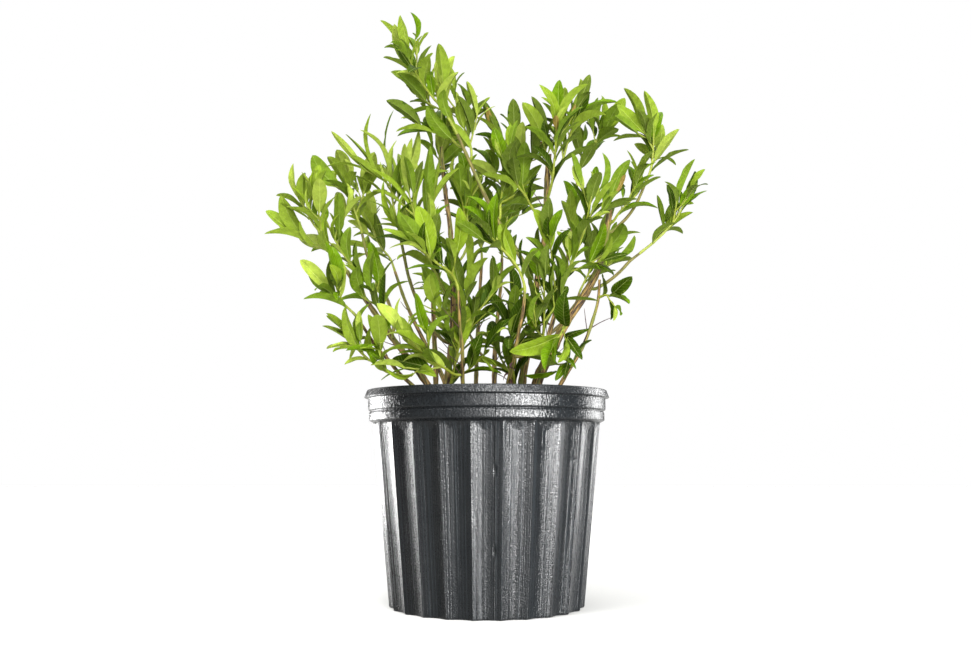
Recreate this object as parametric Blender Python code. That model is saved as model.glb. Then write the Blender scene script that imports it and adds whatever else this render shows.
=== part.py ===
"""Potted pink lemonade blueberry bush.

A young shrub of many canes in a fluted nursery pot. The canes stand on the potting mix,
lean outward and fork into boughs, and every bough or cane carries sprays of narrow leaves.

Metres, +Z up, the front is towards -Y and +X is to the right. The origin is the centre
of the pot's flat underside.
"""

import math
import random

import bpy
from mathutils import Vector
from mathutils.bvhtree import BVHTree

MM = 0.001
GAP = 0.3 * MM
UP = Vector((0, 0, 1))
GOLDEN_ANGLE = math.radians(137.5)
SHARP_ANGLE = math.radians(32)

# Pot: a plain heel, a fluted wall, two bands with a groove between them and a lip
POT_HEIGHT = 241 * MM
POT_WALL = 2 * MM
POT_FLOOR = 3 * MM
HEEL_RADIUS = 109.3 * MM
HEEL_CHAMFER = 2.5 * MM
FLUTE_START = 14 * MM
FLUTE_END = 197 * MM
SHOULDER = 204 * MM
SHOULDER_RADIUS = 129.2 * MM
FLUTES = 24
FLUTE_FACETS = 3
FLUTE_DEPTH = 4.6 * MM
LOWER_BAND = (206.6 * MM, 215.2 * MM, 134.2 * MM)
GROOVE = (216.9 * MM, 132.6 * MM)
UPPER_BAND = (218.7 * MM, 231.3 * MM, 135.6 * MM)
LIP_BOTTOM = 232.5 * MM
LIP_RADIUS = 140 * MM
LIP_TOP_RADIUS = 136.8 * MM
MOUTH_RADIUS = 134.4 * MM
DRAIN_HOLES = 8
DRAIN_RADIUS = 7 * MM
DRAIN_CIRCLE = 84 * MM
DRAIN_SIDES = 8

# Potting mix fills the pot to a flat top below the lip
MIX_TOP = 213 * MM
MIX_SIDES = 36

# Limbs
CANE_SIDES = 6
CANE_STEPS = 7
BOUGH_SIDES = 6
BOUGH_STEPS = 5
CURVE_WEIGHT = 0.4
FLARE = 1.35
FLARE_SHARE = 0.25
WANDER = 0.35

# Shoots of a spray
SHOOT_SIDES = 3
LEADER_STEPS = 4
LEADER_RADII = (1.6 * MM, 0.9 * MM)
LEADER_WANDER = 1.3 * MM
SIDE_STEPS = 2
SIDE_RADII = (1.15 * MM, 0.8 * MM)
SIDE_SPACING = 26 * MM
SIDE_ANGLE = math.radians(42)
SIDE_SHARE = 0.62
SIDE_RANGE = (26 * MM, 60 * MM)
BARE_SHARE = 0.14

# Leaves
LEAF_LENGTH = 58 * MM
LEAF_SPACING = 15.3 * MM
LEAF_SHOULDER = 0.42
LEAF_KEEL = 0.14
LEAF_SINK = 2 * MM
LEAF_THICKNESS = 0.02
LEAF_FOLD = 0.2
LEAF_ARCH = 0.05
LEAF_FORMS = {"lance": (1.0, 0.36), "oval": (0.88, 0.52), "strap": (1.4, 0.22)}
CLEARANCE = 0.5 * MM
LOWEST_LEAF = POT_HEIGHT + 5 * MM

# Turns about the stem that a leaf or a twig tries before it is skipped
TURNS = (0.0, 0.7, -0.7, 1.4)

# Canes: name, foot on the mix (x, y), slope at the foot (x, y), tip (x, y, z),
# slope at the tip (x, y), thickness at foot and tip. All in millimetres.
CANES = [
    ("cane_left", (-41, 0), (-0.74, -0.06), (-160, -20, 377), (-0.6, -0.1), (8.5, 5.0)),
    ("cane_left_low", (-52, -22), (-1.0, -0.25), (-144, -60, 320), (-0.6, -0.2), (5.0, 3.2)),
    ("cane_middle", (-50, 16), (0.14, 0.03), (-55, 28, 539), (-0.1, 0.0), (8.5, 4.5)),
    ("cane_middle_back", (-60, 40), (-0.04, 0.06), (-68, 58, 555), (0.0, 0.0), (6.5, 3.4)),
    ("cane_front_left", (-26, -26), (0.0, -0.3), (-31, -88, 345), (-0.05, -0.3), (5.0, 3.2)),
    ("cane_centre_back", (-14, 28), (0.0, 0.3), (-6, 88, 408), (0.05, 0.25), (5.5, 3.6)),
    ("cane_stub", (29, -12), (-0.03, 0.0), (26, -12, 276), (-0.03, 0.0), (6.0, 5.2)),
    ("cane_right_main", (37, 3), (0.12, 0.0), (74, 6, 523), (0.02, 0.0), (9.5, 6.4)),
    ("cane_right", (50, -16), (0.16, 0.0), (144, -12, 458), (0.02, 0.0), (13.0, 6.2)),
    ("cane_right_low", (64, -30), (0.55, -0.05), (127, -42, 364), (0.02, -0.05), (5.0, 3.0)),
    ("cane_back_right", (50, 38), (0.25, 0.15), (114, 78, 509), (0.1, 0.05), (6.5, 3.6)),
    ("cane_back", (8, 56), (0.0, 0.3), (20, 132, 420), (0.05, 0.2), (6.5, 3.8)),
    ("cane_back_left", (-34, 62), (-0.35, 0.25), (-118, 126, 402), (-0.3, 0.1), (6.5, 3.6)),
    ("cane_front_right", (20, -44), (0.1, -0.35), (40, -112, 340), (0.1, -0.25), (5.0, 3.2)),
]

# Boughs: name, limb that carries it, place along that limb, tip (x, y, z),
# upward turn at the tip, thickness at foot and tip. All in millimetres.
BOUGHS = [
    ("bough_up_left", "cane_right_main", 0.6, (-34, -26, 537), 0.1, (5.6, 3.6)),
    ("bough_left_inner", "cane_middle", 0.34, (-104, 0, 435), 0.55, (4.6, 3.2)),
    ("bough_left_outer", "cane_left", 0.62, (-148, 12, 430), 0.6, (4.2, 3.0)),
    ("bough_right_up", "cane_right", 0.9, (185, -18, 483), 0.3, (4.0, 3.0)),
    ("bough_right_out", "cane_right", 0.66, (176, -24, 398), 0.0, (4.0, 3.0)),
    ("bough_back_right", "cane_back_right", 0.42, (120, 128, 376), 0.4, (4.2, 3.0)),
    ("bough_back_low", "cane_back", 0.4, (-22, 128, 322), 0.3, (4.2, 3.0)),
    ("bough_front_out", "cane_front_right", 0.55, (80, -126, 300), 0.3, (4.0, 3.0)),
]

# Sprays: name, limb that carries it, place along that limb, tip of its leading shoot
# (x, y, z), reach of its leaves from that shoot, leaf form. All in millimetres.
SPRAYS = [
    ("foliage_top", "bough_up_left", 1.0, (-98, -36, 634), 66, "lance"),
    ("foliage_top_second", "bough_up_left", 0.93, (-74, -10, 599), 66, "lance"),
    ("foliage_top_middle", "bough_up_left", 0.84, (-39, -2, 597), 62, "lance"),
    ("foliage_crown_left", "cane_middle_back", 0.86, (-57, 44, 542), 62, "lance"),
    ("foliage_upper_left", "bough_left_inner", 1.0, (-117, 0, 507), 84, "strap"),
    ("foliage_left_oval", "bough_left_outer", 1.0, (-169, 12, 495), 60, "oval"),
    ("foliage_left_tip", "cane_left", 1.0, (-213, -36, 458), 62, "lance"),
    ("foliage_left_second", "cane_left", 0.93, (-188, -4, 441), 62, "lance"),
    ("foliage_left_low", "cane_left_low", 1.0, (-174, -72, 348), 62, "lance"),
    ("foliage_left_skirt", "cane_left_low", 0.5, (-147, -84, 290), 60, "lance"),
    ("foliage_left_inner", "cane_left", 0.6, (-132, -60, 356), 66, "lance"),
    ("foliage_middle_left", "cane_middle", 0.5, (-92, -26, 476), 70, "strap"),
    ("foliage_middle", "cane_middle", 0.62, (-27, 30, 498), 66, "lance"),
    ("foliage_front_left", "cane_front_left", 1.0, (-64, -124, 382), 66, "lance"),
    ("foliage_low_left", "cane_front_left", 0.4, (-90, -100, 298), 62, "lance"),
    ("foliage_low_middle", "cane_middle", 0.13, (-19, -60, 370), 64, "lance"),
    ("foliage_front", "cane_front_right", 1.0, (6, -138, 400), 66, "lance"),
    ("foliage_front_low", "bough_front_out", 1.0, (72, -140, 287), 64, "lance"),
    ("foliage_low_centre", "cane_right_main", 0.14, (28, -44, 334), 62, "lance"),
    ("foliage_low_main", "cane_right", 0.34, (62, -82, 356), 64, "lance"),
    ("foliage_bough_middle", "bough_up_left", 0.4, (22, 36, 515), 62, "lance"),
    ("foliage_top_gap", "cane_right_main", 0.8, (33, 22, 556), 60, "lance"),
    ("foliage_top_centre", "cane_right_main", 0.95, (104, 2, 563), 66, "lance"),
    ("foliage_top_right", "cane_right_main", 0.86, (84, -34, 560), 62, "lance"),
    ("foliage_right_main", "cane_right_main", 0.46, (128, -50, 466), 66, "lance"),
    ("foliage_right_inner", "cane_back_right", 1.0, (144, 70, 576), 64, "lance"),
    ("foliage_right_crown", "cane_right", 0.93, (173, -36, 481), 62, "lance"),
    ("foliage_right_top", "bough_right_up", 1.0, (196, -14, 544), 68, "lance"),
    ("foliage_right_tip", "bough_right_out", 1.0, (227, -28, 454), 62, "lance"),
    ("foliage_right_low", "cane_right_low", 0.9, (140, -60, 345), 60, "oval"),
    ("foliage_low_right", "cane_right_low", 0.42, (88, -76, 272), 60, "lance"),
    ("foliage_back_right", "bough_back_right", 1.0, (150, 152, 446), 68, "lance"),
    ("foliage_back", "cane_back", 1.0, (29, 160, 500), 68, "lance"),
    ("foliage_back_low", "bough_back_low", 1.0, (-46, 168, 390), 66, "lance"),
    ("foliage_back_left", "cane_back_left", 1.0, (-154, 146, 467), 68, "lance"),
    ("foliage_centre_back", "cane_centre_back", 1.0, (-11, 98, 490), 66, "lance"),
]

# Colours as linear values, with roughness
BLACK_PLASTIC = ((0.026, 0.030, 0.034), 0.42)
BARK_MIX = ((0.045, 0.018, 0.013), 0.95)
BARK = ((0.31, 0.19, 0.10), 0.8)
GREEN_BARK = ((0.20, 0.22, 0.06), 0.7)
LEAF_GREEN = ((0.16, 0.33, 0.03), 0.5)


def clear_scene():
    """Remove every object of the open scene."""
    for item in list(bpy.data.objects):
        bpy.data.objects.remove(item, do_unlink=True)


def shade(item, material):
    """Give an object its one material, shaded smooth except at its sharp edges."""
    item.data.materials.clear()
    item.data.materials.append(material)
    item.data.shade_smooth()
    item.data.set_sharp_from_angle(angle=SHARP_ANGLE)


def finish_material(name, finish):
    """A Principled material with one colour and roughness."""
    colour, roughness = finish
    material = bpy.data.materials.new(name)
    material.use_nodes = True
    shader = material.node_tree.nodes["Principled BSDF"]
    shader.inputs["Base Color"].default_value = (*colour, 1.0)
    shader.inputs["Roughness"].default_value = roughness
    shader.inputs["Metallic"].default_value = 0.0
    material.diffuse_color = (*colour, 1.0)
    return material


def add_object(name, shape, origin, collection=None):
    """An object whose mesh is the shape, with its origin at the given point."""
    corners, faces = shape
    mesh = bpy.data.meshes.new(name)
    mesh.from_pydata([corner - origin for corner in corners], [], faces)
    mesh.validate()
    item = bpy.data.objects.new(name, mesh)
    item.location = origin
    (collection or bpy.context.scene.collection).objects.link(item)
    return item


def millimetres(numbers):
    """A vector from millimetres."""
    return Vector(numbers) * MM


def apply_boolean(item, operation, collection, solver):
    """Join or cut an object with a whole collection, keep the result and drop the rest."""
    cut = item.modifiers.new("join", "BOOLEAN")
    cut.operation = operation
    cut.operand_type = "COLLECTION"
    cut.collection = collection
    cut.solver = solver
    bpy.context.view_layer.update()
    graph = bpy.context.evaluated_depsgraph_get()
    result = bpy.data.meshes.new_from_object(item.evaluated_get(graph), depsgraph=graph)
    item.modifiers.clear()
    item.data = result
    for operand in list(collection.objects):
        bpy.data.objects.remove(operand, do_unlink=True)
    bpy.data.collections.remove(collection)


def operand_collection(name):
    """A collection in the scene for the pieces of one Boolean."""
    collection = bpy.data.collections.new(name)
    bpy.context.scene.collection.children.link(collection)
    return collection


def wall_radius(height):
    """Radius over the arrises of the pot's tapering wall."""
    share = height / SHOULDER
    return HEEL_RADIUS + (SHOULDER_RADIUS - HEEL_RADIUS) * share


def outer_rows():
    """Outer profile of the pot from the underside to the lip: height, radius, fluting."""
    rows = [
        (0.0, HEEL_RADIUS - HEEL_CHAMFER, 0.0),
        (HEEL_CHAMFER, wall_radius(HEEL_CHAMFER), 0.0),
        (FLUTE_START, wall_radius(FLUTE_START), 1.0),
        (FLUTE_END, wall_radius(FLUTE_END), 1.0),
        (SHOULDER, SHOULDER_RADIUS, 0.0),
    ]
    rows += [(LOWER_BAND[0], LOWER_BAND[2], 0.0), (LOWER_BAND[1], LOWER_BAND[2], 0.0)]
    rows += [(*GROOVE, 0.0)]
    rows += [(UPPER_BAND[0], UPPER_BAND[2], 0.0), (UPPER_BAND[1], UPPER_BAND[2], 0.0)]
    rows += [(LIP_BOTTOM, LIP_RADIUS, 0.0), (POT_HEIGHT, LIP_TOP_RADIUS, 0.0)]
    return rows


def inner_rows():
    """Inner profile of the pot from the floor to the mouth, one wall inside the outer."""
    return [
        (POT_FLOOR, wall_radius(POT_FLOOR) - POT_WALL, 1.0),
        (FLUTE_END, wall_radius(FLUTE_END) - POT_WALL, 1.0),
        (SHOULDER + POT_WALL, SHOULDER_RADIUS - POT_WALL, 0.0),
        (GROOVE[0] + POT_WALL / 2, GROOVE[1] - POT_WALL, 0.0),
        (POT_HEIGHT, MOUTH_RADIUS, 0.0),
    ]


def fluted_ring(height, radius, fluting):
    """One ring of the pot, scooped between the arrises."""
    ring = []
    for index in range(FLUTES * FLUTE_FACETS):
        share = (index % FLUTE_FACETS) / FLUTE_FACETS
        scoop = fluting * FLUTE_DEPTH * math.sin(math.pi * share)
        angle = math.tau * (index / FLUTE_FACETS + 0.5) / FLUTES
        reach = radius - scoop
        ring.append(Vector((reach * math.cos(angle), reach * math.sin(angle), height)))
    return ring


def lofted(rings):
    """A closed body through rings of equal size, with flat ends."""
    count = len(rings[0])
    corners = [corner for ring in rings for corner in ring]
    faces = []
    for level in range(len(rings) - 1):
        low = level * count
        for index in range(count):
            after = (index + 1) % count
            faces.append((low + index, low + after, low + count + after, low + count + index))
    last = (len(rings) - 1) * count
    faces.append(tuple(reversed(range(count))))
    faces.append(tuple(range(last, last + count)))
    return corners, faces


def build_pot(material):
    """The fluted pot: one thin shell with a flat underside and drain holes in its floor."""
    rings = [fluted_ring(*row) for row in outer_rows()]
    rings += [fluted_ring(*row) for row in reversed(inner_rows())]
    pot = add_object("pot", lofted(rings), Vector())
    holes = operand_collection("drain_holes")
    for index in range(DRAIN_HOLES):
        angle = math.tau * index / DRAIN_HOLES
        centre = Vector((DRAIN_CIRCLE * math.cos(angle), DRAIN_CIRCLE * math.sin(angle), -POT_FLOOR))
        rings = []
        for depth in (0.0, 3 * POT_FLOOR):
            rings.append(circle(centre + UP * depth, UP, Vector((1, 0, 0)), DRAIN_RADIUS, DRAIN_SIDES))
        add_object("drain_hole", lofted(rings), centre, holes)
    apply_boolean(pot, "DIFFERENCE", holes, "EXACT")
    shade(pot, material)
    return pot


def build_mix(material):
    """The potting mix: a plug that fills the pot up to its flat top."""
    rows = []
    deepest = math.sin(math.pi / FLUTE_FACETS)
    for height, radius, fluting in inner_rows():
        if height < MIX_TOP:
            rows.append((height, radius - fluting * FLUTE_DEPTH * deepest - GAP))
    rows[0] = (POT_FLOOR + GAP, rows[0][1])
    rows.append((MIX_TOP, rows[-1][1]))
    start = Vector((1, 0, 0))
    rings = [circle(UP * height, UP, start, radius, MIX_SIDES) for height, radius in rows]
    mix = add_object("potting_mix", lofted(rings), Vector())
    shade(mix, material)
    return mix


def circle(centre, axis, start, radius, sides):
    """Corners of a regular ring about an axis, counted from the start direction."""
    across = start - axis * start.dot(axis)
    across.normalize()
    along = axis.cross(across)
    corners = []
    for index in range(sides):
        angle = math.tau * index / sides
        corners.append(centre + radius * (across * math.cos(angle) + along * math.sin(angle)))
    return corners


class Limb:
    """A tapering limb, shoot or twig: its centre line, its radii and its foot's facing."""

    def __init__(self, name, points, radii, sides, foot_facing):
        self.name = name
        self.points = points
        self.radii = radii
        self.sides = sides
        self.foot_facing = foot_facing

    def heading(self, index):
        """Direction of the centre line at one of its points."""
        before = self.points[max(index - 1, 0)]
        after = self.points[min(index + 1, len(self.points) - 1)]
        return (after - before).normalized()

    def place(self, share):
        """Point, direction and radius at a share of the limb's length in points."""
        last = len(self.points) - 1
        spot = min(share, 0.9999) * last
        index = int(spot)
        part = spot - index
        point = self.points[index].lerp(self.points[index + 1], part)
        direction = self.heading(index).lerp(self.heading(index + 1), part).normalized()
        radius = self.radii[index] * (1 - part) + self.radii[index + 1] * part
        return point, direction, radius

    def shape(self, extra=0.0):
        """Closed tube along the centre line, thicker by the extra where asked."""
        start = Vector((0.31, 0.95, 0.12))
        rings = []
        for index, point in enumerate(self.points):
            facing = self.foot_facing if index == 0 else self.heading(index)
            across = start - facing * start.dot(facing)
            start = across.normalized()
            rings.append(circle(point, facing, start, self.radii[index] + extra, self.sides))
        return lofted(rings)


def cubic(foot, rise, settle, tip, steps):
    """Points along a cubic curve that leaves along rise and arrives along settle."""
    first = foot + rise
    second = tip - settle
    points = []
    for index in range(steps + 1):
        t = index / steps
        s = 1 - t
        points.append(foot * s**3 + first * 3 * s * s * t + second * 3 * s * t * t + tip * t**3)
    return points


def wandering(points, amount, luck):
    """The same points with the inner ones pushed aside, as a limb bends at its old buds."""
    moved = [points[0]]
    for point in points[1:-1]:
        aside = Vector((luck.uniform(-1, 1), luck.uniform(-1, 1), luck.uniform(-0.4, 0.4)))
        moved.append(point + aside * amount)
    moved.append(points[-1])
    return moved


def taper(first, last, steps):
    """Radii that shrink evenly from the foot to the tip."""
    return [first + (last - first) * index / steps for index in range(steps + 1)]


def cane(row, luck):
    """A cane that rises from the mix, with a flared foot and a flat cut under it."""
    name, foot, foot_slope, tip, tip_slope, thickness = row
    start = Vector((foot[0] * MM, foot[1] * MM, MIX_TOP + GAP))
    end = millimetres(tip)
    climb = (end.z - start.z) * CURVE_WEIGHT
    rise = Vector((*foot_slope, 1)) * climb
    settle = Vector((*tip_slope, 1)) * climb
    points = cubic(start, rise, settle, end, CANE_STEPS)
    foot_radius, tip_radius = (size * MM / 2 for size in thickness)
    points = wandering(points, foot_radius * WANDER, luck)
    radii = taper(foot_radius, tip_radius, CANE_STEPS)
    points.insert(1, points[0].lerp(points[1], FLARE_SHARE))
    radii.insert(1, radii[0])
    radii[0] *= FLARE
    return Limb(name, points, radii, CANE_SIDES, UP)


def sprout_foot(parent, share, tip):
    """Where a limb meets its parent, clear of its bark: point, facing and first heading."""
    point, direction, radius = parent.place(share)
    if share >= 1:
        return point + direction * GAP, direction, direction
    out = tip - point
    out = (out - direction * out.dot(direction)).normalized()
    heading = (out * 0.8 + direction * 0.6).normalized()
    return point + out * (radius + GAP), out, heading


def bough(row, limbs, luck):
    """A bough from the side of a cane."""
    name, parent, share, tip, lift, thickness = row
    end = millimetres(tip)
    foot, facing, heading = sprout_foot(limbs[parent], share, end)
    reach = (end - foot).length * CURVE_WEIGHT
    settle = ((end - foot).normalized() * (1 - lift) + UP * lift).normalized()
    points = cubic(foot, heading * reach, settle * reach, end, BOUGH_STEPS)
    foot_radius, tip_radius = (size * MM / 2 for size in thickness)
    points = wandering(points, foot_radius * WANDER, luck)
    return Limb(name, points, taper(foot_radius, tip_radius, BOUGH_STEPS), BOUGH_SIDES, facing)


def leading_shoot(row, limbs, luck):
    """The stem of a spray, from its limb to the spray's tip."""
    name, parent, share, tip = row[:4]
    end = millimetres(tip)
    foot, facing, heading = sprout_foot(limbs[parent], share, end)
    reach = (end - foot).length * CURVE_WEIGHT
    settle = ((end - foot).normalized() * 0.7 + UP * 0.3).normalized()
    points = cubic(foot, heading * reach, settle * reach, end, LEADER_STEPS)
    points = wandering(points, LEADER_WANDER, luck)
    return Limb(name, points, taper(*LEADER_RADII, LEADER_STEPS), SHOOT_SIDES, facing)


def shoot_length(shoot):
    """Length along a shoot's centre line."""
    pairs = zip(shoot.points, shoot.points[1:])
    return sum((after - before).length for before, after in pairs)


def around(direction, angle):
    """Unit vector square to a direction, at an angle about it."""
    side = direction.cross(Vector((0.2, -0.97, 0.11))).normalized()
    return side * math.cos(angle) + direction.cross(side) * math.sin(angle)


def side_buds(leader, luck):
    """Buds round the leading shoot, each a function from a turn to the twig it makes."""
    length = shoot_length(leader)
    count = int(length * (1 - BARE_SHARE) / SIDE_SPACING)
    start = luck.uniform(0, math.tau)
    buds = []
    for index in range(count):
        share = BARE_SHARE + (0.86 - BARE_SHARE) * (index + 0.5) / count
        size = SIDE_SHARE * length * (1 - 0.6 * share) * luck.uniform(0.8, 1.15)
        size = max(min(size, SIDE_RANGE[1]), SIDE_RANGE[0])
        buds.append((share, start + index * GOLDEN_ANGLE, size))
    return buds


def twig_at(leader, bud, turn):
    """The twig that a bud makes when it is turned about the leading shoot."""
    share, angle, size = bud
    point, direction, _ = leader.place(share)
    out = around(direction, angle + turn)
    heading = direction * math.cos(SIDE_ANGLE) + out * math.sin(SIDE_ANGLE)
    bend = (heading * 0.75 + UP * 0.35).normalized()
    tip = point + (heading + bend) * (size / 2)
    points = cubic(point, heading * size / 3, bend * size / 3, tip, SIDE_STEPS)
    return Limb(leader.name, points, taper(*SIDE_RADII, SIDE_STEPS), SHOOT_SIDES, heading)


def leaf_buds(shoot, form, luck):
    """Leaf buds in a spiral along one shoot, from the one at its tip downward."""
    length = shoot_length(shoot)
    first = BARE_SHARE * length
    count = max(2, round((length - first) / LEAF_SPACING))
    start = luck.uniform(0, math.tau)
    buds = []
    for index in range(count, -1, -1):
        last = index == count
        along = length - LEAF_SINK if last else first + (length - first) * (index + 0.3) / count
        share = along / length
        spread = luck.uniform(6, 16) if last else luck.uniform(40, 62) - 26 * share
        size = LEAF_LENGTH * LEAF_FORMS[form][0] * luck.uniform(0.78, 1.12)
        buds.append({
            "share": share,
            "angle": start + index * GOLDEN_ANGLE + luck.uniform(-0.3, 0.3),
            "spread": math.radians(spread),
            "lift": luck.uniform(0.05, 0.45),
            "roll": Vector((luck.uniform(-1, 1), luck.uniform(-1, 1), luck.uniform(-1, 1))),
            "length": size * (1 - 0.25 * abs(share - 0.6)),
            "width": size * LEAF_FORMS[form][1] * luck.uniform(0.88, 1.15),
            "arch": LEAF_ARCH * luck.uniform(0.2, 1.8),
        })
    return buds


def leaf_at(shoot, bud, turn):
    """The leaf that a bud makes when it is turned about its shoot."""
    point, direction, _ = shoot.place(bud["share"])
    out = around(direction, bud["angle"] + turn)
    axis = direction * math.cos(bud["spread"]) + out * math.sin(bud["spread"])
    axis = (axis + UP * bud["lift"]).normalized()
    face = direction * 0.8 + UP * 0.5 - out * 0.25 + bud["roll"] * 0.35
    return Leaf(point, axis, face, bud["length"], bud["width"], bud["arch"])


class Leaf:
    """One leaf: its root on the shoot, its axis and facing, and its sizes."""

    def __init__(self, root, axis, face, length, width, arch):
        self.root = root
        self.axis = axis
        self.face = (face - axis * face.dot(axis)).normalized()
        self.side = self.face.cross(axis)
        self.length = length
        self.width = width
        self.arch = arch

    def point(self, along, aside, above):
        """Point at a share of the length and half width, and at a height over the blade."""
        step = self.axis * (along * self.length) + self.side * (aside * self.width / 2)
        return self.root + step + self.face * above

    def shape(self, extra=0.0):
        """Closed blade of eight faces, folded along its midrib and arched."""
        half = LEAF_THICKNESS * self.length / 2 + extra
        keel = LEAF_KEEL / LEAF_SHOULDER * self.arch * self.length
        edge = 1 + extra / (self.width / 2)
        lifted = self.arch * self.length + LEAF_FOLD * self.width / 2
        corners = [
            self.root,
            self.point(LEAF_SHOULDER, edge, lifted),
            self.point(LEAF_SHOULDER, -edge, lifted),
            self.point(LEAF_KEEL, 0, keel + half),
            self.point(LEAF_KEEL, 0, keel - half),
            self.point(1 + extra / self.length, 0, 0),
        ]
        faces = [
            (0, 3, 1), (0, 2, 3), (0, 1, 4), (0, 4, 2),
            (5, 1, 3), (5, 3, 2), (5, 4, 1), (5, 2, 4),
        ]
        return corners, faces


class Clearance:
    """Remembers the pieces that stand and tells whether a new one would touch them."""

    def __init__(self):
        self.pieces = []

    def add(self, owner, shape):
        """Keep a piece under its owner's name."""
        corners, faces = shape
        low = [min(corner[axis] for corner in corners) for axis in range(3)]
        high = [max(corner[axis] for corner in corners) for axis in range(3)]
        self.pieces.append((owner, low, high, BVHTree.FromPolygons(corners, faces)))

    def touches(self, shape, ignored):
        """Whether a shape touches any piece whose owner isn't ignored."""
        corners, faces = shape
        low = [min(corner[axis] for corner in corners) for axis in range(3)]
        high = [max(corner[axis] for corner in corners) for axis in range(3)]
        tree = BVHTree.FromPolygons(corners, faces)
        for owner, other_low, other_high, other_tree in self.pieces:
            if owner in ignored:
                continue
            if any(low[axis] > other_high[axis] or high[axis] < other_low[axis] for axis in range(3)):
                continue
            if tree.overlap(other_tree):
                return True
        return False


def outside_space(shape, leader, reach):
    """Whether a shape leaves the spray's space or sinks to the pot."""
    for corner in shape[0]:
        if corner.z < LOWEST_LEAF:
            return True
        if min((corner - point).length for point in leader.points) > reach:
            return True
    return False


def grow_limbs():
    """All canes and boughs by name."""
    limbs = {}
    for index, row in enumerate(CANES):
        limbs[row[0]] = cane(row, random.Random(100 + index))
    for index, row in enumerate(BOUGHS):
        limbs[row[0]] = bough(row, limbs, random.Random(200 + index))
    return limbs


def first_free(make, bud, stem, owner, standing, leader, reach):
    """The first turn of a bud's twig or leaf that touches nothing and keeps to its space."""
    for turn in TURNS:
        piece = make(stem, bud, turn)
        guard = piece.shape(CLEARANCE)
        if outside_space(guard, leader, reach) or standing.touches(guard, {owner}):
            continue
        return piece, guard
    return None, None


def grow_sprays(limbs):
    """Shoots and leaves of every spray, none of them touching a limb or each other."""
    standing = Clearance()
    for limb in limbs.values():
        standing.add(limb.name, limb.shape(CLEARANCE))
    sprays = {}
    for index, row in enumerate(SPRAYS):
        leader = leading_shoot(row, limbs, random.Random(300 + index))
        sprays[row[0]] = {"shoots": [leader], "leaves": []}
        standing.add((row[0], 0), leader.shape(CLEARANCE))
    for index, row in enumerate(SPRAYS):
        name, reach = row[0], row[4] * MM
        shoots = sprays[name]["shoots"]
        leader = shoots[0]
        for bud in side_buds(leader, random.Random(400 + index)):
            twig, guard = first_free(twig_at, bud, leader, (name, 0), standing, leader, reach)
            if twig:
                standing.add((name, len(shoots)), guard)
                shoots.append(twig)
    for index, row in enumerate(SPRAYS):
        name, reach, form = row[0], row[4] * MM, row[5]
        luck = random.Random(500 + index)
        shoots = sprays[name]["shoots"]
        for number, shoot in enumerate(shoots):
            owner = (name, number)
            for bud in leaf_buds(shoot, form, luck):
                leaf, guard = first_free(leaf_at, bud, shoot, owner, standing, shoots[0], reach)
                if leaf:
                    standing.add((name, "leaf"), guard)
                    sprays[name]["leaves"].append(leaf)
    return sprays


def build_limb(limb, material):
    """One cane or bough as a solid."""
    item = add_object(limb.name, limb.shape(), limb.points[0])
    shade(item, material)
    return item


def build_spray(name, spray, material):
    """One mass of foliage: its leading shoot with the twigs and leaves fused on."""
    leader = spray["shoots"][0]
    origin = leader.points[0]
    mass = add_object(name, leader.shape(), origin)
    pieces = operand_collection(name + "_pieces")
    for twig in spray["shoots"][1:]:
        add_object("twig", twig.shape(), origin, pieces)
    for leaf in spray["leaves"]:
        add_object("leaf", leaf.shape(), origin, pieces)
    apply_boolean(mass, "UNION", pieces, "EXACT")
    shade(mass, material)
    return mass


def main():
    """Build the pot, the mix, the limbs and the sprays under one empty."""
    clear_scene()
    root = bpy.data.objects.new("blueberry_bush", None)
    bpy.context.scene.collection.objects.link(root)
    limbs = grow_limbs()
    sprays = grow_sprays(limbs)
    bark = finish_material("bark", BARK)
    green_bark = finish_material("green_bark", GREEN_BARK)
    leaf_green = finish_material("leaf_green", LEAF_GREEN)
    parts = [
        build_pot(finish_material("black_plastic", BLACK_PLASTIC)),
        build_mix(finish_material("bark_mix", BARK_MIX)),
    ]
    bough_names = {row[0] for row in BOUGHS}
    for limb in limbs.values():
        parts.append(build_limb(limb, green_bark if limb.name in bough_names else bark))
    for name, spray in sprays.items():
        parts.append(build_spray(name, spray, leaf_green))
    for item in parts:
        item.parent = root


main()
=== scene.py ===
"""Looks of a potted blueberry bush: its fluted pot, potting mix, canes, shoots and leaves.

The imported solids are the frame. Every cane, bough, shoot and leaf grows here by the same rule
and seeds as those solids, and is carried on to finer twigs and smaller leaves.
Metres, +Z up, the front is towards -Y.
"""

import functools
import math
import random

import bpy
import numpy as np
from bpy.props import FloatProperty, FloatVectorProperty, IntProperty, PointerProperty
from mathutils import Euler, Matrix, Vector, noise
from mathutils.bvhtree import BVHTree


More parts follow.
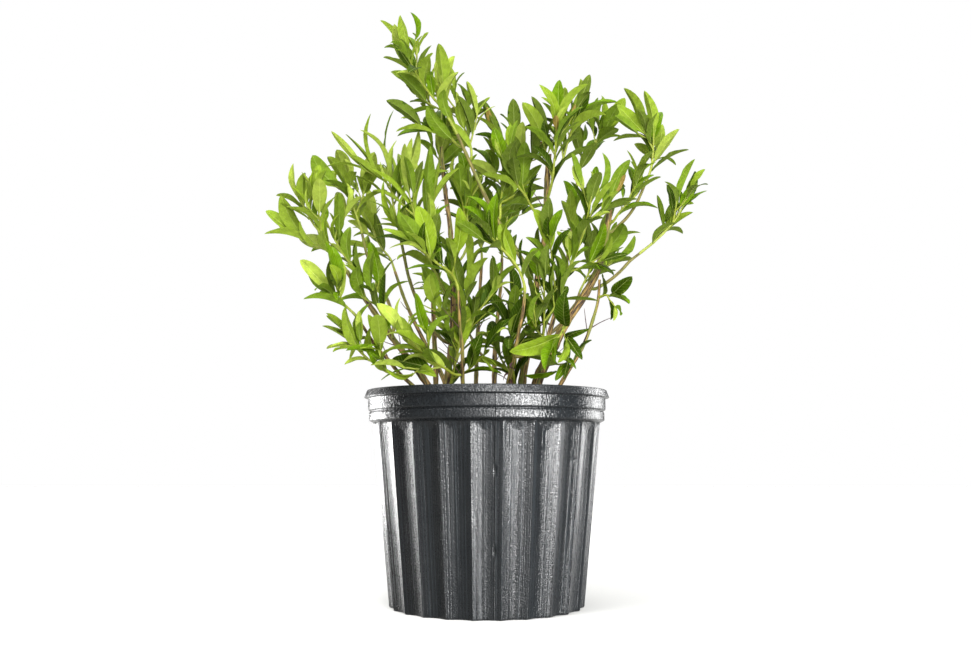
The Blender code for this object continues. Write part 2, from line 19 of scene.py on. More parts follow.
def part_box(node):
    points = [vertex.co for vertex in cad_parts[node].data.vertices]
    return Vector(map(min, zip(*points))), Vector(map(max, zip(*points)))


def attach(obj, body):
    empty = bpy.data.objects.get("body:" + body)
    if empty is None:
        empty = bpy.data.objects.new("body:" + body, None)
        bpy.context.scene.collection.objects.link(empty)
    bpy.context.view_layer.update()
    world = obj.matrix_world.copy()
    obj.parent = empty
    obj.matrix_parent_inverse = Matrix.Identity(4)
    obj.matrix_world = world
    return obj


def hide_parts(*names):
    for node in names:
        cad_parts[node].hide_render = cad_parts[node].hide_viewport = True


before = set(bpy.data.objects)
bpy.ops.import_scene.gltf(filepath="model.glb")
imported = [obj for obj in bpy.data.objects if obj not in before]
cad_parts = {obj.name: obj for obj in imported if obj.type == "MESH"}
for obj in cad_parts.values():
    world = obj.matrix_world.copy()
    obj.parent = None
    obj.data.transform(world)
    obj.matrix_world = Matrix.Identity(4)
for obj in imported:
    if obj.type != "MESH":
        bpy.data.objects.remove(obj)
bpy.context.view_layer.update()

bl_info = {
    "name": "Potted blueberry bush",
    "version": (1, 0, 0),
    "blender": (4, 5, 0),
    "location": "3D View > Sidebar > Bush",
    "description": "Builds the pot, the potting mix, the canes and the foliage of a young shrub",
    "category": "Object",
}

MM = 0.001
GAP = 0.3 * MM
UP = Vector((0, 0, 1))
GOLDEN_ANGLE = math.radians(137.5)

# Directions that no limb takes, from which the angles about a limb are counted
START_SIDE = (0.31, 0.95, 0.12)
BUD_SIDE = Vector((0.2, -0.97, 0.11))

# Where the draws of each kind of piece start, so that every run makes the same bush
SEEDS = {
    "canes": 100, "boughs": 200, "leading_shoots": 300, "twigs": 400, "leaves": 500,
    "finer_growth": 600, "tones": 700, "dry_twigs": 800, "bark": 800, "blades": 900,
    "scraps": 950, "chips": 11, "grains": 12,
}

# Pot profile, in the source's values
POT_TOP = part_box("pot")[1].z
LIP_RADIUS = 140 * MM
LIP_TOP_RADIUS = 136.8 * MM
LIP_BOTTOM = 232.5 * MM
MOUTH_RADIUS = 134.4 * MM
HEEL_RADIUS = 109.3 * MM
SHOULDER = 204 * MM
SHOULDER_RADIUS = 129.2 * MM
LOWER_BAND = (206.6 * MM, 215.2 * MM, 134.2 * MM)
GROOVE = (216.9 * MM, 132.6 * MM)
UPPER_BAND = (218.7 * MM, 231.3 * MM, 135.6 * MM)
POT_WALL = 2 * MM
POT_FLOOR = 3 * MM
FLUTES = 24
FLUTE_DEPTH = 4.6 * MM
DRAIN_HOLES = 8
DRAIN_RADIUS = 7 * MM
DRAIN_CIRCLE = 84 * MM

# Finer form of the pot: the flutes' rounded tops, the mould seams with a nick here and there,
# and the floor raised on a foot ring
FLUTE_TOP = 205.5 * MM
FLUTE_ARCH = 0.5 * MM
FLUTE_RAMP = 3.2 * MM
FLUTE_COLUMNS = 16
FILLET_STEPS = 5
FILLET_REACH = 0.45
WALL_ROW = 2.6 * MM
TOP_ROW = 1.1 * MM
INNER_ROW = 24 * MM
SEAM_ANGLES = (math.radians(-86), math.radians(94))
SEAM_HALF = 0.9 * MM
SEAM_COLUMNS_MM = (-2.4, -1.6, -0.9, -0.45, 0.0, 0.45, 0.9, 1.6, 2.4)
SEAM_HEIGHT = 0.35 * MM
SEAM_TOP = 231 * MM
SEAM_NICKS = (71 * MM, 153 * MM)
NICK_HALVES = (2.2 * MM, 6 * MM)
NICK_DEPTH = 1.6 * MM
NICK_STEEPNESS = 1.6
FOOT_RING = 100 * MM
FLOOR_RISE = 1.2 * MM
FLOOR_OVERLAP = 1 * MM
FLOOR_SIDES = 96
HOLE_SIDES = 32
POT_CREASE = math.radians(40)

# Potting mix: its bed, the lumps of its top (size in millimetres, place in the noise, share of
# the height), and the crumbs on it (place along the crumb and girth there for each ring)
MIX_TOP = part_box("potting_mix")[1].z
MIX_RINGS = 34
MIX_SIDES = 120
MIX_CENTRE = 0.02
MIX_HEIGHT = 2.2 * MM
MIX_LUMPS = ((38, 3.0, 0.7), (9, 7.0, 0.4))
MIX_CLEARANCE = 0.4 * MM
CRUMB_RINGS = ((-1, 0.5), (-0.55, 0.95), (0.5, 1), (1, 0.55))
CRUMB_SIDES = 6
CRUMB_TURN = 0.25
CRUMB_SHIFT = 0.12
CRUMB_WIDTH = (0.35, 0.7)
CRUMB_TILT = (0.5, 0.35)
CRUMB_RISE = 0.25
CHIP_LENGTH = (2.5 * MM, 7 * MM)
CHIP_FLATNESS = (0.2, 0.4)
CHIP_UNEVENNESS = 0.2
PERLITE_LENGTH = (1.2 * MM, 3.2 * MM)
PERLITE_FLATNESS = (0.7, 0.95)
PERLITE_UNEVENNESS = 0.15
STREWN_RADIUS = MOUTH_RADIUS - 12 * MM

# Limbs, shoots and leaves of the solids. Leaves look along their shoot, up, inward and askew by
# the shares of LEAF_FACING, and a form's two numbers are its length and its width for that length.
LAST_SHARE = 0.9999
CANE_STEPS = 7
BOUGH_STEPS = 5
LIMB_CORNERS = 6
CURVE_WEIGHT = 0.4
FLARE = 1.35
FLARE_SHARE = 0.25
WANDER = 0.35
UPRIGHT_WANDER = 0.4
SPROUT_OUT = 0.8
SPROUT_ON = 0.6
LEADER_STEPS = 4
LEADER_CORNERS = 3
LEADER_LIFT = 0.3
LEADER_RADII = (1.6 * MM, 0.9 * MM)
LEADER_WANDER = 1.3 * MM
SIDE_STEPS = 2
SIDE_RADII = (1.15 * MM, 0.8 * MM)
SIDE_SPACING = 26 * MM
SIDE_ANGLE = math.radians(42)
SIDE_SHARE = 0.62
SIDE_SHRINK = 0.6
SIDE_LUCK = (0.8, 1.15)
SIDE_RANGE = (26 * MM, 60 * MM)
SIDE_END = 0.86
BARE_SHARE = 0.14
TWIG_BEND = 0.75
TWIG_LIFT = 0.35
LEAF_SPACING = 15.3 * MM
LEAF_START = 0.3
LEAF_SIZES = (0.78, 1.12)
LEAF_LEAN = (40, 62)
LEAN_FALL = 26
TIP_LEAN = (6, 16)
LONGEST_PLACE = 0.6
LENGTH_FALL = 0.25
LEAF_FACING = (0.8, 0.5, 0.25, 0.35)
LEAF_SHOULDER = 0.42
LEAF_KEEL = 0.14
LEAF_SINK = 2 * MM
LEAF_THICKNESS = 0.02
LEAF_FOLD = 0.2
LEAF_ARCH = 0.05
LEAF_FORMS = {"lance": (1.0, 0.36), "oval": (0.88, 0.52), "strap": (1.4, 0.22)}
CLEARANCE = 0.5 * MM
LOWEST_LEAF = POT_TOP + 5 * MM
TURNS = (0.0, 0.7, -0.7, 1.4)

# How far a bud may turn, and the ranges of its leaf's lift, width and arch
GROWN_HABIT = (0.3, (0.05, 0.45), (0.88, 1.15), (0.2, 1.8))
FINE_HABIT = (0.4, (0.0, 0.4), (0.62, 1.05), (0.2, 2.2))

# Finer growth: leaves between the solids' leaves, young leaves at the tips and twiglets. Low
# shoots hang out over the lip.
FINE_SPACING = 19 * MM
FINE_START = 0.65
FINE_SIZE = (0.5, 0.9)
FINE_LEAN = (36, 68)
FINE_FALL = 24
FINE_END = 0.97
YOUNG_LEAVES = 3
YOUNG_SPACING = 1.8 * MM
YOUNG_SIZE = (0.34, 0.6)
YOUNG_LEAN = (12, 34)
TWIGLET_SPACING = 34 * MM
TWIGLET_RANGE = (14 * MM, 32 * MM)
TWIGLET_RADII = (0.8 * MM, 0.55 * MM)
TWIGLET_END = 0.94
TWIGLET_LEAF = 0.74
HANG_HEIGHT = 380 * MM
HANG_RANGE = 110 * MM
HANG_LIFT = 0.8
FOOT_DEPTH = 6 * MM
SOCKET_DEPTH = 1.8 * MM

# Dead twigs and curled scraps on the canes
DRY_TWIGS = 54
DRY_TWIG_SHARES = (0.15, 0.85)
DRY_TWIG_RANGE = (16 * MM, 46 * MM)
DRY_TWIG_LIFTS = (-0.5, 0.6)
DRY_TWIG_RADII = (0.65 * MM, 0.3 * MM)
DRY_TWIG_REACH = 80 * MM
SCRAPS = 26
SCRAP_SHARES = (0.12, 0.55)
SCRAP_HANG = 0.8
SCRAP_LENGTH = (10 * MM, 20 * MM)
SCRAP_WIDTH = 0.45
SCRAP_ARCH = 0.1
SCRAP_FOLD = (0.8, 1.5)
SCRAP_DROOP = (0.6, 1.6)
SCRAP_TWIST = (-1.2, 1.2)

# Tones of the leaves, partly painted light and shade. A leaf's score grows with its spray's height
# and reach and towards the left, where the light comes from, so that lit sprays get paler tones
# and shaded ones deeper; it also grows towards its shoot's tip, and by luck. Each tone ends at a
# score.
TONE_START = 0.36
TONE_HEIGHT = 300 * MM
TONE_REACH = 260 * MM
TONE_SHARE = 0.12
MOST_LIGHT = 1.6
LEFT_GAIN = 1.35
TIP_GAIN = 0.3
YOUNG_GAIN = 0.22
SPRAY_LUCK = 0.14
LEAF_LUCK = 0.27
TONE_LIMITS = (("deep", 0.36), ("mid", 0.64), ("fresh", 0.95), ("pale", math.inf))
YOUNG_LENGTH = 32 * MM
BRONZE_HEIGHT = 430 * MM
BRONZE_SHARE = 0.14

# Leaf blades: stations from root to tip, and from the midrib to the edge. The curves give how
# a blade widens from its root and narrows to its tip.
LEAF_STATIONS = np.array([0, 0.03, 0.07, 0.13, 0.22, 0.33, 0.45, 0.57, 0.69, 0.8, 0.9, 0.96, 1])
LEAF_STRIPS = np.array([0, 0.1, 0.55, 1])
BLADE_CURVES = {"lance": (0.62, 0.64), "oval": (0.56, 0.58), "strap": (0.6, 0.7)}
LENGTH_SCALE = 0.93
WIDTH_SCALE = 0.88
SMALL_LEAVED = ("foliage_right_low",)
SMALL_SCALE = 0.72
PETIOLE_SHARE = 0.05
PETIOLE_FLARE = 0.3
PETIOLE_TAPER = 0.16
PETIOLE_HALF = 0.75 * MM
PETIOLE_THICKNESS = 1.1 * MM
BLADE_THICKNESS = 0.36 * MM
RIB_HALF = 0.42 * MM
RIB_NARROWING = (1.15, 0.85)
RIB_SHARE = 0.4
RIB_GROOVE = 0.18 * MM
RIB_RIDGE = 0.4 * MM
RIDGE_END = 1.1
TIP_HALF = 0.12 * MM
EDGE_FLATTENING = 0.22
DROOP_START = 0.45
EDGE_PHASE = 0.25
LEAF_CREASE = math.radians(50)

# Ranges of each leaf's own form. Twist and sway are the spread of a bell curve.
FOLD = (0.2, 0.95)
DROOP = (0.0, 0.35)
LIMP_SHARE = 0.25
LIMP_DROOP = (0.2, 0.6)
TWIST = 0.24
WAVE = (0.02, 0.12)
RIPPLES = (1.2, 2.6)
SWAY = 0.035

# Bark: ribs along each limb with finer ones on them (how much finer, and their share), swollen
# bud scars, and the end's rings (how far past the end, and girth), cut off or rounded
LIMB_SIDES = 18
LIMB_STEP = 3 * MM
FEWEST_STEPS = 5
BARK_RIB_MM = 26
BARK_RIB_TURNS = 2.3
BARK_RIB_FINER = (2.7, 0.5)
BARK_RELIEF = 0.055
SCAR_SPACING = 34 * MM
SCAR_PLACES = (0.3, 0.8)
SCAR_LENGTH = 3.2 * MM
SCAR_SWELL = 0.13
CUT_SLANT = 0.35
CUT_END = ((0.15, 0.9),)
ROUND_END = ((0.5, 0.85), (0.85, 0.5), (1.0, 0.15))
CREASE = math.radians(48)
SHOOT_SIDES = 8
SHOOT_STEP = 3 * MM
SHOOT_TIP = 0.55
NODE_SWELL = 0.22
NODE_LENGTH = 1.6 * MM

# Attribute with the place that a limb's or a leaf's corner would have on a straight, flat one,
# so that streaks and veins follow its bends
STRAIGHT_PLACE = "straight_place"

# Patterns of the plastic in millimetres: patches of wear, and draw marks and the bands' mottle
# as width and height. Real draw marks are some tenths of a millimetre wide, and the mould's
# grain is finer still. Both are too fine to show, so they are drawn as coarse as they need.
WEAR_MM = 28
DRAW_MARKS_MM = (1.7, 300)
MOTTLE_MM = (2.2, 4)
GRAIN_MM = 1.6
SPECKLE_MM = 1.3
SPECKLE_SHARE = 0.34
GRAIN_DEPTH = 0.3 * MM
MARK_DEPTH = 0.8 * MM
PLASTIC_ROUGHNESS = (0.19, 0.38)
WEAR_RANGE = (0.35, 0.65)
# Range of the marks over which the streak colour comes in, and its share: paler streaks that are
# partly rubbed plastic and partly painted highlight
RUBBED_HIGHLIGHT_RANGE = (0.52, 0.72)
RUBBED_HIGHLIGHT_SHARE = 0.6
MOTTLE_RANGE = (0.15, 0.85)

# Patterns of bark in millimetres, width and length. Real fibres are finer and wouldn't show.
FIBRES_MM = (1.2, 16)
PATCHES_MM = (6, 30)
FIBRE_DEPTH = 0.5 * MM
FIBRE_RANGE = (0.45, 0.56)
PATCH_RANGE = (0.48, 0.62)
CANE_LICHEN = 0.75
BOUGH_LICHEN = 0.9
BOUGH_STREAK = 0.3

# Side veins of the leaves, drawn two to three times as broad as real ones so that they show
VEIN_SPACING = 4.6 * MM
VEIN_SLANT = 1.1
VEIN_HALF = 0.4 * MM
VEIN_BEND_MM = 9
VEIN_SHARE = 0.5
VEIN_DEPTH = 0.2 * MM

# Shares of the underside's and the midrib's own tint that are mixed into each tone
UNDERSIDE_SHARE = 0.28
MIDRIB_SHARE = 0.36

# Most of a noise's values lie in this range
NOISE_RANGE = (0.36, 0.64)

# Natural surfaces: grain size and grain height in millimetres, roughness, how far the grain's
# two tones lie from the colour, share of light that soaks in, and level of the highlight. The
# pores of leaves, twigs, wood, perlite and paper are too fine to show, so they are drawn in
# this size.
FINISHES = {
    # Crumbly brown without shine, deeply pitted
    "milled_peat": (3.5, 1.2, 0.95, 0.45, 0, 0.5),
    # Flakes of red-brown and near-black, each with its own tone
    "composted_bark": (4, 0.6, 0.9, 0.5, 0, 0.5),
    # Chalky white with soft pits
    "expanded_perlite": (1.2, 0.3, 0.85, 0.12, 0, 0.5),
    # Dry pale straw colour, slightly uneven
    "pruned_wood": (2, 0.3, 0.8, 0.25, 0, 0.5),
    # Smooth yellow-green with a soft sheen, as light enters it
    "green_shoot_skin": (2.5, 0.15, 0.5, 0.15, 0.1, 0.5),
    # Even green with faint clouds, a dull waxy sheen and paler veins
    "waxy_leaf": (7, 0.25, 0.42, 0.18, 0.05, 0.03),
    # Paler and duller than the upper side, as its wax scatters light
    "leaf_underside": (5, 0.2, 0.65, 0.14, 0.05, 0.03),
    # A light yellow-green line that glows a little
    "leaf_midrib": (3, 0.1, 0.55, 0.06, 0.1, 0.06),
    # Brittle dark brown in patches, without shine
    "dead_leaf": (2.5, 0.4, 0.85, 0.35, 0, 0.5),
    # A plain pale floor that only takes soft shadows
    "matt_paper": (4, 0.05, 0.9, 0.01, 0, 0.5),
}

# How far light soaks into a leaf, and its colour on the way
SOAK_DEPTH = 0.9 * MM
SOAK_COLOUR = (0.6, 1.0, 0.12)

# Studio: each lamp's name, place, width and height, share of the key's power, and
# whether it lights the pot alone, as a strip lamp screened from the leaves does
FLOOR_REACH = 4.0
LAMP_AIM = Vector((0, 0, 0.33))
POT_PIECES = ("pot_wall", "pot_floor")
LAMPS = [
    ("key_above", (-0.7, -0.8, 1.9), (0.6, 0.6), 0.75, False),
    ("fill_front", (0.5, -1.7, 0.55), (0.9, 0.7), 1.1, False),
    ("front_right", (0.76, -0.95, 0.22), (0.26, 0.42), 2.4, True),
    ("front_wide", (0.5, -1.15, 0.24), (1.1, 0.46), 0.45, True),
    ("front_centre", (-0.1, -1.3, 0.26), (0.9, 0.4), 0.2, True),
    ("rim_front", (0.25, -1.2, 1.1), (0.5, 0.1), 1.4, True),
    ("side_left", (-1.0, 0.7, 0.14), (0.6, 0.26), 0.65, True),
    ("side_right", (1.0, 0.7, 0.4), (0.4, 0.8), 0.45, True),
]

# Canes: name, foot on the mix (x, y), slope at the foot (x, y), tip (x, y, z),
# slope at the tip (x, y), thickness at foot and tip. All in millimetres.
CANES = [
    ("cane_left", (-41, 0), (-0.74, -0.06), (-160, -20, 377), (-0.6, -0.1), (8.5, 5.0)),
    ("cane_left_low", (-52, -22), (-1.0, -0.25), (-144, -60, 320), (-0.6, -0.2), (5.0, 3.2)),
    ("cane_middle", (-50, 16), (0.14, 0.03), (-55, 28, 539), (-0.1, 0.0), (8.5, 4.5)),
    ("cane_middle_back", (-60, 40), (-0.04, 0.06), (-68, 58, 555), (0.0, 0.0), (6.5, 3.4)),
    ("cane_front_left", (-26, -26), (0.0, -0.3), (-31, -88, 345), (-0.05, -0.3), (5.0, 3.2)),
    ("cane_centre_back", (-14, 28), (0.0, 0.3), (-6, 88, 408), (0.05, 0.25), (5.5, 3.6)),
    ("cane_stub", (29, -12), (-0.03, 0.0), (26, -12, 276), (-0.03, 0.0), (6.0, 5.2)),
    ("cane_right_main", (37, 3), (0.12, 0.0), (74, 6, 523), (0.02, 0.0), (9.5, 6.4)),
    ("cane_right", (50, -16), (0.16, 0.0), (144, -12, 458), (0.02, 0.0), (13.0, 6.2)),
    ("cane_right_low", (64, -30), (0.55, -0.05), (127, -42, 364), (0.02, -0.05), (5.0, 3.0)),
    ("cane_back_right", (50, 38), (0.25, 0.15), (114, 78, 509), (0.1, 0.05), (6.5, 3.6)),
    ("cane_back", (8, 56), (0.0, 0.3), (20, 132, 420), (0.05, 0.2), (6.5, 3.8)),
    ("cane_back_left", (-34, 62), (-0.35, 0.25), (-118, 126, 402), (-0.3, 0.1), (6.5, 3.6)),
    ("cane_front_right", (20, -44), (0.1, -0.35), (40, -112, 340), (0.1, -0.25), (5.0, 3.2)),
]

# Boughs: name, limb that carries it, place along that limb, tip (x, y, z),
# upward turn at the tip, thickness at foot and tip. All in millimetres.
BOUGHS = [
    ("bough_up_left", "cane_right_main", 0.6, (-34, -26, 537), 0.1, (5.6, 3.6)),
    ("bough_left_inner", "cane_middle", 0.34, (-104, 0, 435), 0.55, (4.6, 3.2)),
    ("bough_left_outer", "cane_left", 0.62, (-148, 12, 430), 0.6, (4.2, 3.0)),
    ("bough_right_up", "cane_right", 0.9, (185, -18, 483), 0.3, (4.0, 3.0)),
    ("bough_right_out", "cane_right", 0.66, (176, -24, 398), 0.0, (4.0, 3.0)),
    ("bough_back_right", "cane_back_right", 0.42, (120, 128, 376), 0.4, (4.2, 3.0)),
    ("bough_back_low", "cane_back", 0.4, (-22, 128, 322), 0.3, (4.2, 3.0)),
    ("bough_front_out", "cane_front_right", 0.55, (80, -126, 300), 0.3, (4.0, 3.0)),
]

# Sprays: name, limb that carries it, place along that limb, tip of its leading shoot
# (x, y, z), reach of its leaves from that shoot, leaf form. All in millimetres.
SPRAYS = [
    ("foliage_top", "bough_up_left", 1.0, (-98, -36, 634), 66, "lance"),
    ("foliage_top_second", "bough_up_left", 0.93, (-74, -10, 599), 66, "lance"),
    ("foliage_top_middle", "bough_up_left", 0.84, (-39, -2, 597), 62, "lance"),
    ("foliage_crown_left", "cane_middle_back", 0.86, (-57, 44, 542), 62, "lance"),
    ("foliage_upper_left", "bough_left_inner", 1.0, (-117, 0, 507), 84, "strap"),
    ("foliage_left_oval", "bough_left_outer", 1.0, (-169, 12, 495), 60, "oval"),
    ("foliage_left_tip", "cane_left", 1.0, (-213, -36, 458), 62, "lance"),
    ("foliage_left_second", "cane_left", 0.93, (-188, -4, 441), 62, "lance"),
    ("foliage_left_low", "cane_left_low", 1.0, (-174, -72, 348), 62, "lance"),
    ("foliage_left_skirt", "cane_left_low", 0.5, (-147, -84, 290), 60, "lance"),
    ("foliage_left_inner", "cane_left", 0.6, (-132, -60, 356), 66, "lance"),
    ("foliage_middle_left", "cane_middle", 0.5, (-92, -26, 476), 70, "strap"),
    ("foliage_middle", "cane_middle", 0.62, (-27, 30, 498), 66, "lance"),
    ("foliage_front_left", "cane_front_left", 1.0, (-64, -124, 382), 66, "lance"),
    ("foliage_low_left", "cane_front_left", 0.4, (-90, -100, 298), 62, "lance"),
    ("foliage_low_middle", "cane_middle", 0.13, (-19, -60, 370), 64, "lance"),
    ("foliage_front", "cane_front_right", 1.0, (6, -138, 400), 66, "lance"),
    ("foliage_front_low", "bough_front_out", 1.0, (72, -140, 287), 64, "lance"),
    ("foliage_low_centre", "cane_right_main", 0.14, (28, -44, 334), 62, "lance"),
    ("foliage_low_main", "cane_right", 0.34, (62, -82, 356), 64, "lance"),
    ("foliage_bough_middle", "bough_up_left", 0.4, (22, 36, 515), 62, "lance"),
    ("foliage_top_gap", "cane_right_main", 0.8, (33, 22, 556), 60, "lance"),
    ("foliage_top_centre", "cane_right_main", 0.95, (104, 2, 563), 66, "lance"),
    ("foliage_top_right", "cane_right_main", 0.86, (84, -34, 560), 62, "lance"),
    ("foliage_right_main", "cane_right_main", 0.46, (128, -50, 466), 66, "lance"),
    ("foliage_right_inner", "cane_back_right", 1.0, (144, 70, 576), 64, "lance"),
    ("foliage_right_crown", "cane_right", 0.93, (173, -36, 481), 62, "lance"),
    ("foliage_right_top", "bough_right_up", 1.0, (196, -14, 544), 68, "lance"),
    ("foliage_right_tip", "bough_right_out", 1.0, (227, -28, 454), 62, "lance"),
    ("foliage_right_low", "cane_right_low", 0.9, (140, -60, 345), 60, "oval"),
    ("foliage_low_right", "cane_right_low", 0.42, (88, -76, 272), 60, "lance"),
    ("foliage_back_right", "bough_back_right", 1.0, (150, 152, 446), 68, "lance"),
    ("foliage_back", "cane_back", 1.0, (29, 160, 500), 68, "lance"),
    ("foliage_back_low", "bough_back_low", 1.0, (-46, 168, 390), 66, "lance"),
    ("foliage_back_left", "cane_back_left", 1.0, (-154, 146, 467), 68, "lance"),
    ("foliage_centre_back", "cane_centre_back", 1.0, (-11, 98, 490), 66, "lance"),
]


def draws(kind, number=0):
    """Random draws for one piece of a kind, the same in every run."""
    return random.Random(SEEDS[kind] + number)


def linear(code):
    """Linear colour with full opacity from an sRGB hex code."""
    parts = [int(code[place:place + 2], 16) / 255 for place in (1, 3, 5)]
    curve = [part / 12.92 if part <= 0.04045 else ((part + 0.055) / 1.055) ** 2.4 for part in parts]
    return (*curve, 1.0)


def between(first, second, share):
    """Colour at a share of the way from the first to the second."""
    return tuple(a + (b - a) * share for a, b in zip(first, second))


def scaled(colour, amount):
    """A colour made lighter or darker by an amount."""
    return (*(min(part * amount, 1) for part in colour[:3]), 1.0)


def per_metre(size_mm):
    """Texture scale at which one cell of a pattern has this many millimetres."""
    return 1000 / size_mm


def add_node(tree, kind, inputs=(), **settings):
    """A shader node with its settings. Its inputs, by name or in order, are values, outputs, or
    nodes, which stand for their first output."""
    made = tree.nodes.new("ShaderNode" + kind)
    for name, setting in settings.items():
        setattr(made, name, setting)
    for key, value in inputs.items() if isinstance(inputs, dict) else enumerate(inputs):
        if isinstance(value, bpy.types.Node):
            value = value.outputs[0]
        if isinstance(value, bpy.types.NodeSocket):
            tree.links.new(value, made.inputs[key])
        else:
            made.inputs[key].default_value = value
    return made


def new_material(name):
    """A material and its empty node tree."""
    material = bpy.data.materials.new(name)
    material.use_nodes = True
    material.node_tree.nodes.clear()
    return material, material.node_tree


def streaks(tree, place, across_mm, along_mm, detail):
    """Speckle drawn out lengthwise, from the width and the length of its streaks."""
    scale = [per_metre(size) for size in (across_mm, across_mm, along_mm)]
    drawn = add_node(tree, "Mapping", {"Vector": place, "Scale": scale})
    return add_node(tree, "TexNoise", {"Vector": drawn, "Scale": 1.0, "Detail": detail})


def speckle(tree, cell_mm, detail):
    """Speckle with cells of one size each way."""
    place = add_node(tree, "TexCoord").outputs["Object"]
    return add_node(tree, "TexNoise", {"Vector": place, "Scale": per_metre(cell_mm), "Detail": detail})


def tinted(tree, value, low, high, first, second):
    """The first colour where a pattern is at its low end, the second where it is at its high."""
    share = add_node(tree, "MapRange", (value, low, high))
    return add_node(tree, "Mix", {0: share, 6: first, 7: second}, data_type="RGBA").outputs[2]


def wall_place(tree, place, height):
    """Coordinates with the pot's taper taken out, so that upright marks follow its leaning wall."""
    taper = add_node(tree, "MapRange", (height, 0, SHOULDER, HEEL_RADIUS / SHOULDER_RADIUS, 1.0))
    shares = add_node(tree, "CombineXYZ", (taper, taper, 1.0))
    return add_node(tree, "VectorMath", (place, shares), operation="DIVIDE")


def moulded_polyethylene(settings):
    """Blow-moulded polyethylene, drawn upright out of its mould."""
    # Gives a satin black-grey with upright draw marks, with paler streaks along them that are partly
    # rubbed plastic and partly painted highlight, and narrow bright strips with soft broken edges
    # where the flutes mirror the lamps
    material, tree = new_material("moulded_polyethylene")
    place = add_node(tree, "TexCoord").outputs["Object"]
    height = add_node(tree, "SeparateXYZ", (place,)).outputs["Z"]
    on_bands = add_node(tree, "MapRange", (height, SHOULDER, LOWER_BAND[0]))
    drawn = streaks(tree, wall_place(tree, place, height), *DRAW_MARKS_MM, 2.0)
    mottle = add_node(tree, "MapRange", (streaks(tree, place, *MOTTLE_MM, 3.0), 0, 1, *MOTTLE_RANGE))
    marks = add_node(tree, "Mix", {0: on_bands, 2: drawn, 3: mottle})
    wear = speckle(tree, WEAR_MM, 4.0)
    clean = tinted(tree, wear, *WEAR_RANGE, settings.colour, settings.scuffed)
    # Paler streaks along the draw marks and the bands' mottle: partly rubbed plastic, partly painted
    # highlight
    rubbed_and_highlight = add_node(tree, "MapRange", (marks, *RUBBED_HIGHLIGHT_RANGE, 0, RUBBED_HIGHLIGHT_SHARE))
    colour = tinted(tree, rubbed_and_highlight, 0, 1, clean, settings.rubbed_and_highlight)
    worn = add_node(tree, "Mix", {0: SPECKLE_SHARE, 2: marks, 3: speckle(tree, SPECKLE_MM, 0.0)})
    grain = speckle(tree, GRAIN_MM, 0.0)
    fine = add_node(tree, "Bump", {"Height": grain, "Strength": 1.0, "Distance": GRAIN_DEPTH})
    bump = add_node(tree, "Bump", {
        "Height": marks, "Strength": 1.0, "Distance": MARK_DEPTH, "Normal": fine,
    })
    shader = add_node(tree, "BsdfPrincipled", {
        "Base Color": colour, "Normal": bump, "IOR": 1.5, "Specular IOR Level": 0.14,
        "Roughness": add_node(tree, "MapRange", (worn, *NOISE_RANGE, *PLASTIC_ROUGHNESS)),
        "Anisotropic": 0.9, "Anisotropic Rotation": 0.25,
        "Tangent": add_node(tree, "Tangent", direction_type="RADIAL", axis="Z"),
    })
    add_node(tree, "OutputMaterial", {"Surface": shader})
    return material


def split_bark(name, skin, crack, lichen, lichen_share):
    """Young woody bark: a thin dry skin that splits lengthwise over greener layers."""
    # Gives tan and grey streaks along the cane, with dull green patches between them
    material, tree = new_material(name)
    place = add_node(tree, "Attribute", attribute_name=STRAIGHT_PLACE).outputs["Vector"]
    fibres = streaks(tree, place, *FIBRES_MM, 5.0)
    wood = tinted(tree, fibres, *FIBRE_RANGE, crack, skin)
    patches = streaks(tree, place, *PATCHES_MM, 3.0)
    green = add_node(tree, "MapRange", (patches, *PATCH_RANGE, 0, lichen_share))
    bump = add_node(tree, "Bump", {"Height": fibres, "Strength": 0.7, "Distance": FIBRE_DEPTH})
    shader = add_node(tree, "BsdfPrincipled", {
        "Base Color": tinted(tree, green, 0, 1, wood, lichen), "Normal": bump,
        "Roughness": 0.72, "IOR": 1.45,
    })
    add_node(tree, "OutputMaterial", {"Surface": shader})
    return material


def side_veins(tree):
    """Closeness to a leaf's side veins, which slant from its midrib towards its tip."""
    place = add_node(tree, "Attribute", attribute_name=STRAIGHT_PLACE).outputs["Vector"]
    along, across, _ = add_node(tree, "SeparateXYZ", (place,)).outputs
    aside = add_node(tree, "Math", (across,), operation="ABSOLUTE")
    slanted = add_node(tree, "Math", (aside, -VEIN_SLANT, along), operation="MULTIPLY_ADD")
    unevenness = (speckle(tree, VEIN_BEND_MM, 0.0), VEIN_SPACING, slanted)
    uneven = add_node(tree, "Math", unevenness, operation="MULTIPLY_ADD")
    away = add_node(tree, "Math", (uneven, VEIN_SPACING / 2), operation="PINGPONG")
    return add_node(tree, "MapRange", (away, 0, VEIN_HALF, 1, 0))


def grained(kind, colour, tone="", veins=None):
    """A natural surface with a fine grain and, on leaves, veins. FINISHES says what it gives."""
    grain_mm, relief_mm, roughness, contrast, soak, shine = FINISHES[kind]
    material, tree = new_material(kind + tone)
    grain = speckle(tree, grain_mm, 3.0)
    dark, light = scaled(colour, 1 - contrast), scaled(colour, 1 + contrast)
    shade = tinted(tree, grain, *NOISE_RANGE, dark, light)
    bump = add_node(tree, "Bump", {"Height": grain, "Strength": 0.5, "Distance": relief_mm * MM})
    if veins:
        near = side_veins(tree)
        drawn = add_node(tree, "MapRange", (near, 0, 1, 0, VEIN_SHARE))
        shade = tinted(tree, drawn, 0, 1, shade, veins)
        bump = add_node(tree, "Bump", {
            "Height": near, "Strength": 1.0, "Distance": VEIN_DEPTH, "Normal": bump,
        }, invert=True)
    shader = add_node(tree, "BsdfPrincipled", {
        "Base Color": shade, "Normal": bump, "Roughness": roughness, "IOR": 1.45,
        "Specular IOR Level": shine, "Subsurface Weight": soak,
        "Subsurface Radius": SOAK_COLOUR, "Subsurface Scale": SOAK_DEPTH,
    })
    add_node(tree, "OutputMaterial", {"Surface": shader})
    return material


